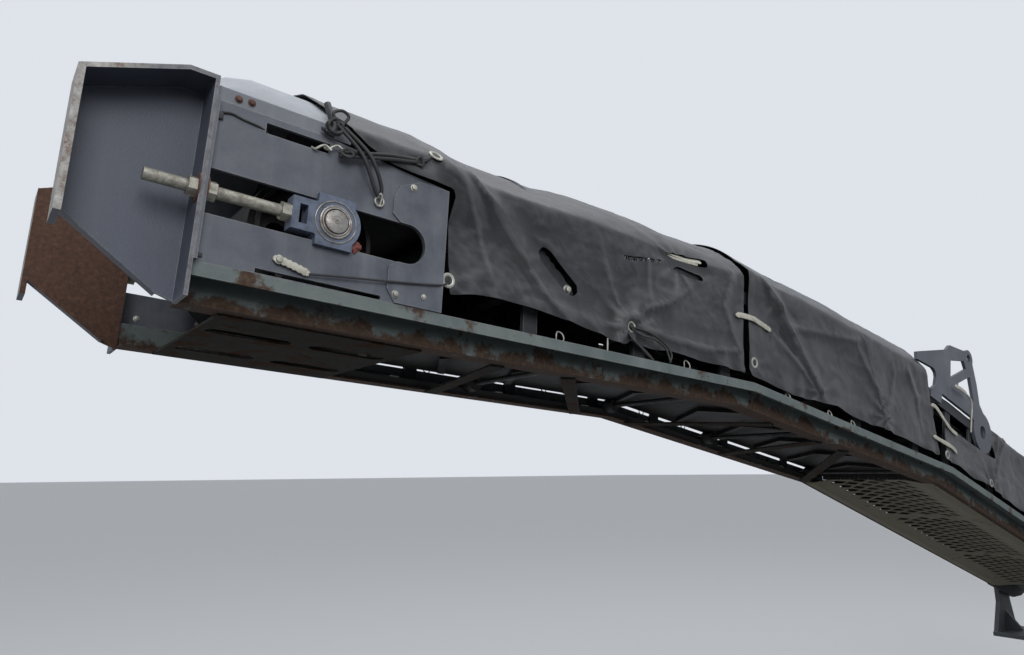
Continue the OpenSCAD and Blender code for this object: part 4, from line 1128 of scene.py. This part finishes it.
# %% Cords
def smooth_path(points, steps=8):
    """A smooth line through the points, as on a drawing with a bent spline."""
    knots = [points[0]] + list(points) + [points[-1]]
    line = []
    for a, b, c, d in zip(knots, knots[1:], knots[2:], knots[3:]):
        for i in range(steps):
            t = i / steps
            line.append(0.5 * ((2 * b) + (c - a) * t + (2 * a - 5 * b + 4 * c - d) * t * t
                               + (3 * b - a - 3 * c + d) * t ** 3))
    return line + [points[-1]]


def cord_piece(points, radius_mm, steps=8):
    """A round cord through some points."""
    start()
    data = bpy.data.curves.new("cord", "CURVE")
    data.dimensions = "3D"
    data.bevel_depth = radius_mm * MM
    data.bevel_resolution = 3
    data.use_fill_caps = True
    line = smooth_path(points, steps)
    spline = data.splines.new("POLY")
    spline.points.add(len(line) - 1)
    for point, at in zip(spline.points, line):
        point.co = (*at, 1)
    made = bpy.data.objects.new("cord", data)
    scene.collection.objects.link(made)
    only(made)
    bpy.ops.object.convert(target="MESH")
    return bpy.context.object


def both_sides(section, rows):
    """Cords from rows of a radius and points (u, y, w), on the left and mirrored on the right."""
    return [cord_piece([place(section, u, side * y, w) for u, y, w in points], radius)
            for side in (1, -1) for radius, points in rows]


# %% Rings and discs
def ring_piece(matrix, radius_mm, wire_mm, flat=1.0):
    """A ring of round wire, pressed flatter where a share below 1 is given."""
    start()
    bpy.ops.mesh.primitive_torus_add(major_segments=36, minor_segments=12, major_radius=radius_mm * MM,
                                     minor_radius=wire_mm * MM)
    made = bpy.context.object
    made.matrix_world = matrix @ Matrix.Diagonal((1, 1, flat, 1))
    return made


def disc_piece(matrix, radius_mm, depth_mm, bevel_mm=0.8, sides=32):
    """A round, square or six-sided plate with softened edges, its foot at the matrix's place."""
    start()
    bpy.ops.mesh.primitive_cylinder_add(vertices=sides, radius=radius_mm * MM, depth=depth_mm * MM,
                                        location=(0, 0, 0.5 * depth_mm * MM))
    made = bpy.context.object
    bpy.ops.object.transform_apply(location=True)
    apply_modifier(made, "BEVEL", width=bevel_mm * MM, segments=2, limit_method="ANGLE")
    made.matrix_world = matrix
    return made


# %% Straps
RIB_PITCH_MM, RIB_SHARE = 11, 0.22


def strap_piece(line, outward, width_mm, thick_mm):
    """A flat band along a line of points, with rounded ends and a waist between its ribs."""
    half, thick = 0.5 * width_mm * MM, 0.5 * thick_mm * MM
    line = smooth_path(line, 12)
    total = sum((b - a).length for a, b in zip(line, line[1:]))
    verts, done = [], 0.0
    for i, at in enumerate(line):
        ahead = (line[min(i + 1, len(line) - 1)] - line[max(i - 1, 0)]).normalized()
        across = ahead.cross(outward).normalized()
        near_end = min(done, total - done)
        reach = half * math.sqrt(max(0.15, 1 - max(0, 1 - near_end / half) ** 2))
        reach *= 1 - RIB_SHARE * math.sin(math.pi * done / (RIB_PITCH_MM * MM)) ** 2
        for side, level in ((-1, -1), (1, -1), (1, 1), (-1, 1)):
            verts.append(at + side * reach * across + level * thick * outward)
        done += (line[min(i + 1, len(line) - 1)] - at).length
    faces = [[4 * i + j, 4 * i + (j + 1) % 4, 4 * i + 4 + (j + 1) % 4, 4 * i + 4 + j]
             for i in range(len(line) - 1) for j in range(4)]
    faces += [[3, 2, 1, 0], [4 * len(line) - 4 + j for j in range(4)]]
    mesh = bpy.data.meshes.new("strap")
    mesh.from_pydata(verts, [], faces)
    made = bpy.data.objects.new("strap", mesh)
    scene.collection.objects.link(made)
    only(made)
    bpy.ops.object.mode_set(mode="EDIT")
    bpy.ops.mesh.select_all(action="SELECT")
    bpy.ops.mesh.normals_make_consistent(inside=False)
    bpy.ops.object.mode_set(mode="OBJECT")
    return apply_modifier(made, "BEVEL", width=0.4 * thick_mm * MM, segments=2, limit_method="ANGLE")


# %% [markdown]
# ## Punched rings
#
# Each ring is two pressed halves, so it shows a broad bright rim. Its hole is a near-black
# rubber disc just inside the rim: painted shade where the hole would look into the cover.
# They are listed by section and place on the cloth's map as the photograph shows the left
# side, and mirrored on the right.

# %% Rings in the cloth
rims, hole_shade_discs = [], []
for section, u, s in RINGS:
    for side in (1, -1):
        at, outward = on_cloth(section, u, s, 1.6, side)
        rims.append(ring_piece(facing(at, outward), 14.2, 4.4, 0.55))
        # A near-black disc in the ring's hole, as painted shade. The cloth under it isn't cut.
        hole_shade_discs.append(disc_piece(facing(at - 0.8 * MM * outward, outward), 11.5, 1.6, 0.3, 24))
finish(join(rims), "cloth_rings", zinc)
finish(join(hole_shade_discs), "ring_hole_shade", hose_rubber)

# %% [markdown]
# ## Cords at the head
#
# Two bright hooks catch the slot in the head plate. From them two rubber cords run back
# to the upper ring. A second pair comes down from the knotted corner of the cloth,
# crosses over the first and ends on a small steel ring. The same set holds the right
# side, so every point is mirrored there.

# %% Rubber cords at the head
CORD_MM, TAIL_MM, KNOT_MM, HOOK_MM = 4.3, 3.4, 3.8, 2.6
PAIR_SHIFT = 4.4

cords = [(CORD_MM, [(1445, 390, 289 + shift), (1400, 393, 299 + shift), (1330, 394, 318 + shift),
                    (1256, 391, 335 + 0.6 * shift), (1226, 386, 356)]) for shift in (-PAIR_SHIFT, PAIR_SHIFT)]
cords += [
    (CORD_MM, [(1458, 396, 348), (1408, 402, 306), (1387, 402, 279), (1362, 392, 240), (1348, 385, 225)]),
    (CORD_MM, [(1442, 397, 346), (1390, 403, 308), (1366, 402, 279), (1345, 392, 246), (1341, 385, 228)]),
    (TAIL_MM, [(1446, 392, 292), (1428, 398, 283), (1416, 396, 293), (1432, 393, 302), (1444, 394, 290)]),
    (TAIL_MM, [(1448, 394, 350), (1436, 398, 372), (1452, 400, 380), (1470, 398, 368), (1452, 396, 344)]),
]
finish(join(both_sides(HEAD, cords)), "rubber_cords", hose_rubber, smooth=60)

# %% Knots in the cords
knots = [(3.6, [(1268, 392, low + 44), (1258, 397, high + 46), (1250, 394, low + 40), (1262, 390, high + 30),
                (1270, 393, low + 44)]) for low, high in ((284, 300), (288, 296))]
for angle in (0, 1.25, 2.5, 3.75, 5.0):
    knots.append((KNOT_MM, [(1462 + 16 * math.cos(angle + t), 394 + 5 * math.sin(2 * t),
                             342 + 16 * math.sin(angle + t)) for t in (0, 1.3, 2.6, 3.9, 5.2)]))
finish(join(both_sides(HEAD, knots)), "cord_knots", hose_rubber, smooth=60)

# %% Hooks of the cords
hooks = [(HOOK_MM, [(1498 - move, 372, 292 + 0.3 * move), (1494 - move, 381, 286 + 0.3 * move),
                    (1484 - move, 386, 294 + 0.3 * move), (1474 - move, 387, 298 + 0.3 * move),
                    (1462 - move, 389, 290 + 0.3 * move)]) for move in (0, 27)]
hooks.append((2.2, [(1347, 383, 224), (1343, 389, 230), (1338, 386, 222), (1340, 381, 206)]))
end_rings = [ring_piece(facing(place(HEAD, 1341, side * 381, 215), sideways(side)), 10, 2.4)
             for side in (1, -1)]
finish(join(both_sides(HEAD, hooks) + end_rings), "cord_hooks", zinc, smooth=60)

# %% Tied corner of the cloth
twists = [(7.5 - twist, [(1478 - 6 * twist, 378 + 3 * twist, 396 - 14 * twist), (1470, 388, 366 - 6 * twist),
                         (1462 - 4 * twist, 391, 346), (1466 + 7 * twist, 388, 322 + 3 * twist)])
          for twist in range(4)]
finish(join(both_sides(HEAD, twists)), "tied_corner", tarpaulin, smooth=60)

# %% Long cord below the head and ties at the hem
ties = [
    (2.4, [(1478, 383, 20), (1400, 384, 31), (1324, 384, 41), (1240, 383, 53), (1176, 381, 64),
           (1140, 352, 82)]),
    (3.0, [(536, 346, 90), (500, 352, 88), (450, 356, 80), (405, 362, 58), (384, 366, 30), (400, 372, 4)]),
    (3.0, [(530, 348, 86), (496, 356, 70), (455, 362, 66), (412, 366, 48), (398, 374, 6)]),
    (3.0, [(545, 344, 84), (534, 352, 58), (512, 360, 38), (486, 368, 14), (470, 374, 2)]),
    (3.0, [(538, 344, 80), (524, 352, 50), (500, 364, 30), (476, 372, 8)]),
]
finish(join(both_sides(HEAD, ties)), "tie_cords", hose_rubber, smooth=60)

# %% [markdown]
# ## Pale straps
#
# Short moulded rubber straps bridge the seams and hold the cloth's ends together. They
# were white once. A longer one with a bolt through it anchors the cord under the head.

# %% Straps over the seams
STRAP_THICK = 5
HEAD_SEAM = [(HEAD, 40, 220, 5), (HEAD, 16, 222, 8), (MIDDLE, 1370, 226, 8), (MIDDLE, 1330, 226, 5),
             (MIDDLE, 1256, 222, 5)]
ROOT_SEAMS = [[(MIDDLE, 96, middle_s, 5), (MIDDLE, 62, middle_s - 4, 9), (ROOT, 2560, root_s + 4, 9),
               (ROOT, far_u, root_s, 5)] for middle_s, root_s, far_u in ((246, 186, 2478), (112, 100, 2488))]
ANCHOR = [(1551, 379, 38), (1530, 381, 34), (1500, 381, 27), (1476, 380, 20)]

straps = []
for side in (1, -1):
    for seam, width in ((HEAD_SEAM, 20), (ROOT_SEAMS[0], 19), (ROOT_SEAMS[1], 19)):
        line = [on_cloth(*row, side)[0] for row in seam]
        straps.append(strap_piece(line, sideways(side), width, STRAP_THICK))
    straps.append(strap_piece([place(HEAD, u, side * y, w) for u, y, w in ANCHOR], sideways(side), 17,
                              STRAP_THICK))
finish(join(straps), "seam_straps", pale_rubber, smooth=40)

# %% [markdown]
# ## Bolts
#
# A hexagon head on a washer is made once for each size and copied. A row gives a bolt's
# section, its place and its width across the flats. Those on the rails face inward, as
# the photograph shows the far rail's, and the two at the cover have rusted.

# %% Bolts
WASHER_THICK = 1.6
RAIL_WEB = 308.6
HEAD_BOLTS = [(HEAD, 1260, 379, 272, 11), (HEAD, 1285, 379, 20, 11), (HEAD, 1540, 381, 36, 12),
              (HEAD, 1215, 379, 28, 8)]
RAIL_BOLTS = [(section, u, RAIL_WEB, w, 10)
              for section, u, w in ((HEAD, 1660, 17), (HEAD, 1511, 30), (HEAD, 1256, -46), (HEAD, 847, 17),
                                    (HEAD, 420, -40), (MIDDLE, 1100, -40), (MIDDLE, 600, -40))]
COVER_BOLTS = [(HEAD, 1653, 375, 338, 10), (HEAD, 1628, 375, 340, 10)]


def bolt_piece(across_mm):
    """A hexagon head on its washer, by its width across the flats."""
    washer = disc_piece(Matrix.Identity(4), 0.78 * across_mm, WASHER_THICK, 0.4, 28)
    head = disc_piece(Matrix.Translation((0, 0, WASHER_THICK * MM)), 0.577 * across_mm, 0.42 * across_mm,
                      0.9, 6)
    return join([washer, head])


pattern = {size: bolt_piece(size) for size in (8, 10, 11, 12)}


def bolts_at(rows, faces_out=1):
    """Copies of the pattern bolts on both sides, each tightened to a turn of its own."""
    return [copy_to(pattern[size], facing(place(section, u, side * y, w), sideways(side * faces_out), u))
            for section, u, y, w, size in rows for side in (1, -1)]


bolts = bolts_at(HEAD_BOLTS) + bolts_at(RAIL_BOLTS, -1)
rusted = bolts_at(COVER_BOLTS)
for piece in pattern.values():
    bpy.data.objects.remove(piece)
finish(join(bolts), "frame_bolts", zinc)
finish(join(rusted), "cover_bolts", rusted_bolt)

# %% [markdown]
# ## The bearing's face
#
# The shaft ends in a bright locking ring, with the rough sawn end of the shaft inside it
# and a centre mark left by the lathe. The rings are the bearing's and stay where they
# are. The shaft's end turns with the drum, so it is a piece of its own on that body.

# %% Bearing ring and shaft end
SHAFT_U, SHAFT_W = 1436, 139


def at_shaft(side, y):
    """The drum shaft's axis on a side, so far out from the boom's middle."""
    return facing(place(HEAD, SHAFT_U, side * y, SHAFT_W), sideways(side))


locking = [ring_piece(at_shaft(side, y), radius, wire)
           for side in (1, -1) for radius, wire, y in ((33, 3.2, 389), (28.5, 2.4, 391), (44, 1.6, 388.4))]
finish(join(locking), "bearing_rings", turned_steel)
sawn_end = disc_piece(at_shaft(1, 392), 24.5, 3.2, 1.6, 48)
lathe_marks = [ring_piece(at_shaft(1, 395), radius, wire) for radius, wire in ((12, 0.8), (3.4, 1.3))]
finish(join([sawn_end] + lathe_marks), "shaft_end", turned_steel, body="head_drum")

# %% [markdown]
# ## What shows through the cloth
#
# Behind the long slot stands a small plate with a bolt and its washer. In the torn
# window a pale strip of the frame shows, with a second one under it. A few wire loops
# and one bright clip stand on the rail below the hem, where the cloth was tied before.

# %% Behind the slot and in the window
BACKING = [(858, 252), (800, 204), (728, 142)]
STRIPS = ((358, 379, 178, 20), (352, 352, 150, 9))
BACKING_DEPTH, STRIP_DEPTH, SHEET_THICK = -17, -5, 3

backing, strips = [], []
for side in (1, -1):
    backing.append(strap_piece([on_cloth(HEAD, u, s, BACKING_DEPTH, side)[0] for u, s in BACKING],
                               sideways(side), 46, SHEET_THICK))
    for u, s, length, width in STRIPS:
        line = [on_cloth(HEAD, u - length * t, s + 3 * t, STRIP_DEPTH, side)[0] for t in (0, 0.33, 0.66, 1)]
        strips.append(strap_piece(line, on_cloth(HEAD, u - 80, s, 0, side)[1], width, SHEET_THICK))
finish(join(backing), "slot_backing", frame_paint)
finish(join(strips), "window_strips", pale_rubber)

# %% Bolt in the slot
slot_bolts = []
for side in (1, -1):
    at = on_cloth(HEAD, 747, 158, -13, side)[0]
    slot_bolts.append(disc_piece(facing(at, sideways(side)), 13, 2.2))
    slot_bolts.append(disc_piece(facing(at + 2 * MM * sideways(side), sideways(side), 0.3), 9, 8, 1.2, 6))
finish(join(slot_bolts), "slot_bolts", zinc)

# %% Loops and a clip below the hem
LOOP_WIDE, LOOP_TALL, LOOP_OUT, LOOP_W = 13, 17, 332, 18
LOOP_PLACES = ((HEAD, 781), (HEAD, 279), (MIDDLE, 1142), (MIDDLE, 880), (MIDDLE, 722))
TURNS = (0, 0.8, 1.6, 2.4, 3.2, 4.0, 4.8, 5.6, 6.28)

loops = []
for section, u in LOOP_PLACES:
    loops += both_sides(section, [(2.0, [(u + LOOP_WIDE * math.cos(t), LOOP_OUT + 3 * math.cos(2 * t),
                                          LOOP_W + LOOP_TALL * math.sin(t)) for t in TURNS])])
loops += both_sides(HEAD, [(2.6, [(608, 333, w) for w in (1, 22, 44, 62)])])
finish(join(loops), "hem_loops", zinc, smooth=60)

# %% [markdown]
# ## Grease at the bearing
#
# Red grease is pressed out of the bearing and dries behind it in a crumbly lump. It
# starts as a ball of small triangles, and noise pushes each point in or out. Beside it,
# rusty washers sit under the adjusting screw's nuts.

# %% Dried grease
LUMP_RADIUS, LUMP_ROUGH, LUMP_CRUMBS, LUMP_FLAT = 12, 7, 3, 0.55
LUMP_AT = (1384, 374, 103)

dried_grease = dusty_rubber("dried_red_grease", "#6d2d26", "#33211f", 0.7, cloud_mm=11.11)
lumps = []
for side in (1, -1):
    start()
    bpy.ops.mesh.primitive_ico_sphere_add(subdivisions=4, radius=LUMP_RADIUS * MM)
    lump = bpy.context.object
    for vertex in lump.data.vertices:
        away = vertex.co.normalized()
        vertex.co += LUMP_ROUGH * MM * noise.noise(vertex.co * 110 + 3 * sideways(side)) * away + \
            LUMP_CRUMBS * MM * noise.noise(vertex.co * 320) * away
        vertex.co.y *= LUMP_FLAT
    lump.matrix_world = Matrix.Translation(place(HEAD, LUMP_AT[0], side * LUMP_AT[1], LUMP_AT[2]))
    lumps.append(lump)
finish(join(lumps), "bearing_grease", dried_grease, smooth=60)

# %% Rusty washers on the adjusting screws
SCREW_Y = 371
ahead = along(SLOPES[HEAD])
washers = [disc_piece(facing(place(HEAD, u, side * SCREW_Y, SHAFT_W), ahead), radius, 2.4, 0.8, 40)
           for side in (1, -1) for u, radius in ((1702.4, 28), (1686, 26))]
finish(join(washers), "screw_washers", rusted_bolt)

# %% Strap and string at the lift bracket
BAND = [(2530, 352, 398), (2480, 355, 402), (2418, 352, 404)]
STRING = [(2420, 353, 402), (2382, 356, 388), (2366, 355, 356), (2367, 353, 300), (2364, 350, 238)]

bands = [strap_piece([place(ROOT, u, side * y, w) for u, y, w in BAND], sideways(side), 20, STRAP_THICK)
         for side in (1, -1)]
finish(join(bands + both_sides(ROOT, [(3.4, STRING)])), "bracket_ties", pale_rubber,
       smooth=50)

# %% [markdown]
# ## Small things along the boom
#
# A thin cable runs from a square plug at the hood to the upper window of the head plate,
# on both sides. Short rubber flaps hang from a flat bar at the upper end of the mesh
# guards, so that stones don't fly out under the belt. The tear in the head's tarpaulin
# has pale frayed threads.

# %% Cable and plug on the head plate
PLATE_FACE = 375
PLUGS = ((1684, 291, 10, 5, 1.2), (1682, 12, 6, 3, 0.8))
CABLE = [(1680, 378, 299), (1662, 377.5, 303), (1640, 377, 299), (1612, 377, 296), (1594, 372, 293),
         (1584, 362, 290)]

EIGHTH_TURN = 0.785
plugs = [disc_piece(facing(place(HEAD, u, side * PLATE_FACE, w), sideways(side), EIGHTH_TURN), radius, depth,
                    bevel, 4) for side in (1, -1) for u, w, radius, depth, bevel in PLUGS]
finish(join(plugs + both_sides(HEAD, [(2.2, CABLE)])), "plate_cables", hose_rubber,
       smooth=50)

# %% Rubber flaps ahead of the guards
FLAP_COUNT, FLAP_PITCH = 11, 44
FLAP, BAR = (5, 41, 34), (8, 618, 6)
FLAP_AHEAD, FLAP_UP, BAR_UP = 6, 3, 19


def rounded_block(size_mm, bevel_mm, matrix):
    """A block with softened edges, put at a place."""
    start()
    bpy.ops.mesh.primitive_cube_add(size=1)
    block = bpy.context.object
    block.dimensions = [MM * length for length in size_mm]
    bpy.ops.object.transform_apply(scale=True)
    apply_modifier(block, "BEVEL", width=bevel_mm * MM, segments=2, limit_method="ANGLE")
    block.matrix_world = matrix
    return block


guard_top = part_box("guard_1")[1]


def at_guard_top(y, up):
    """A place at the guards' upper end, sideways and up from it."""
    return Matrix.Translation((guard_top[0] + FLAP_AHEAD * MM, y * MM, guard_top[2] + up * MM))


flaps = []
for i in range(FLAP_COUNT):
    swing = Matrix.Rotation(0.04 * math.sin(2.1 * i), 4, "Y")
    flaps.append(rounded_block(FLAP, 1.2, at_guard_top((i - FLAP_COUNT // 2) * FLAP_PITCH, FLAP_UP) @ swing))
finish(join(flaps), "guard_flaps", belt_rubber)
finish(rounded_block(BAR, 1.0, at_guard_top(0, BAR_UP)), "flap_bar", frame_paint)

# %% Frayed threads at the tear
THREADS, THREAD_PITCH, THREAD_RADIUS = 26, 7.4, 0.9
TEAR_EDGE = [(362, 330), (420, 317), (480, 307), (520, 299), (556, 297)]

frayed = coated_cloth("frayed_polyester", "#55575a", "#8b8c8d")
threads = []
for i in range(THREADS):
    u = 552 - THREAD_PITCH * i
    s = float(np.interp(u, *np.array(TEAR_EDGE, float).T))
    lean, drop = 5 * math.sin(1.7 * i), 7 + 6 * math.sin(5.3 * i) ** 2
    bent = [on_cloth(HEAD, u + t * lean, s - t * drop, 1.5 + 4 * t * (1 - t))[0] for t in (0, 0.5, 1)]
    threads.append(cord_piece(bent, THREAD_RADIUS, 4))
finish(join(threads), "frayed_threads", frayed, smooth=60)
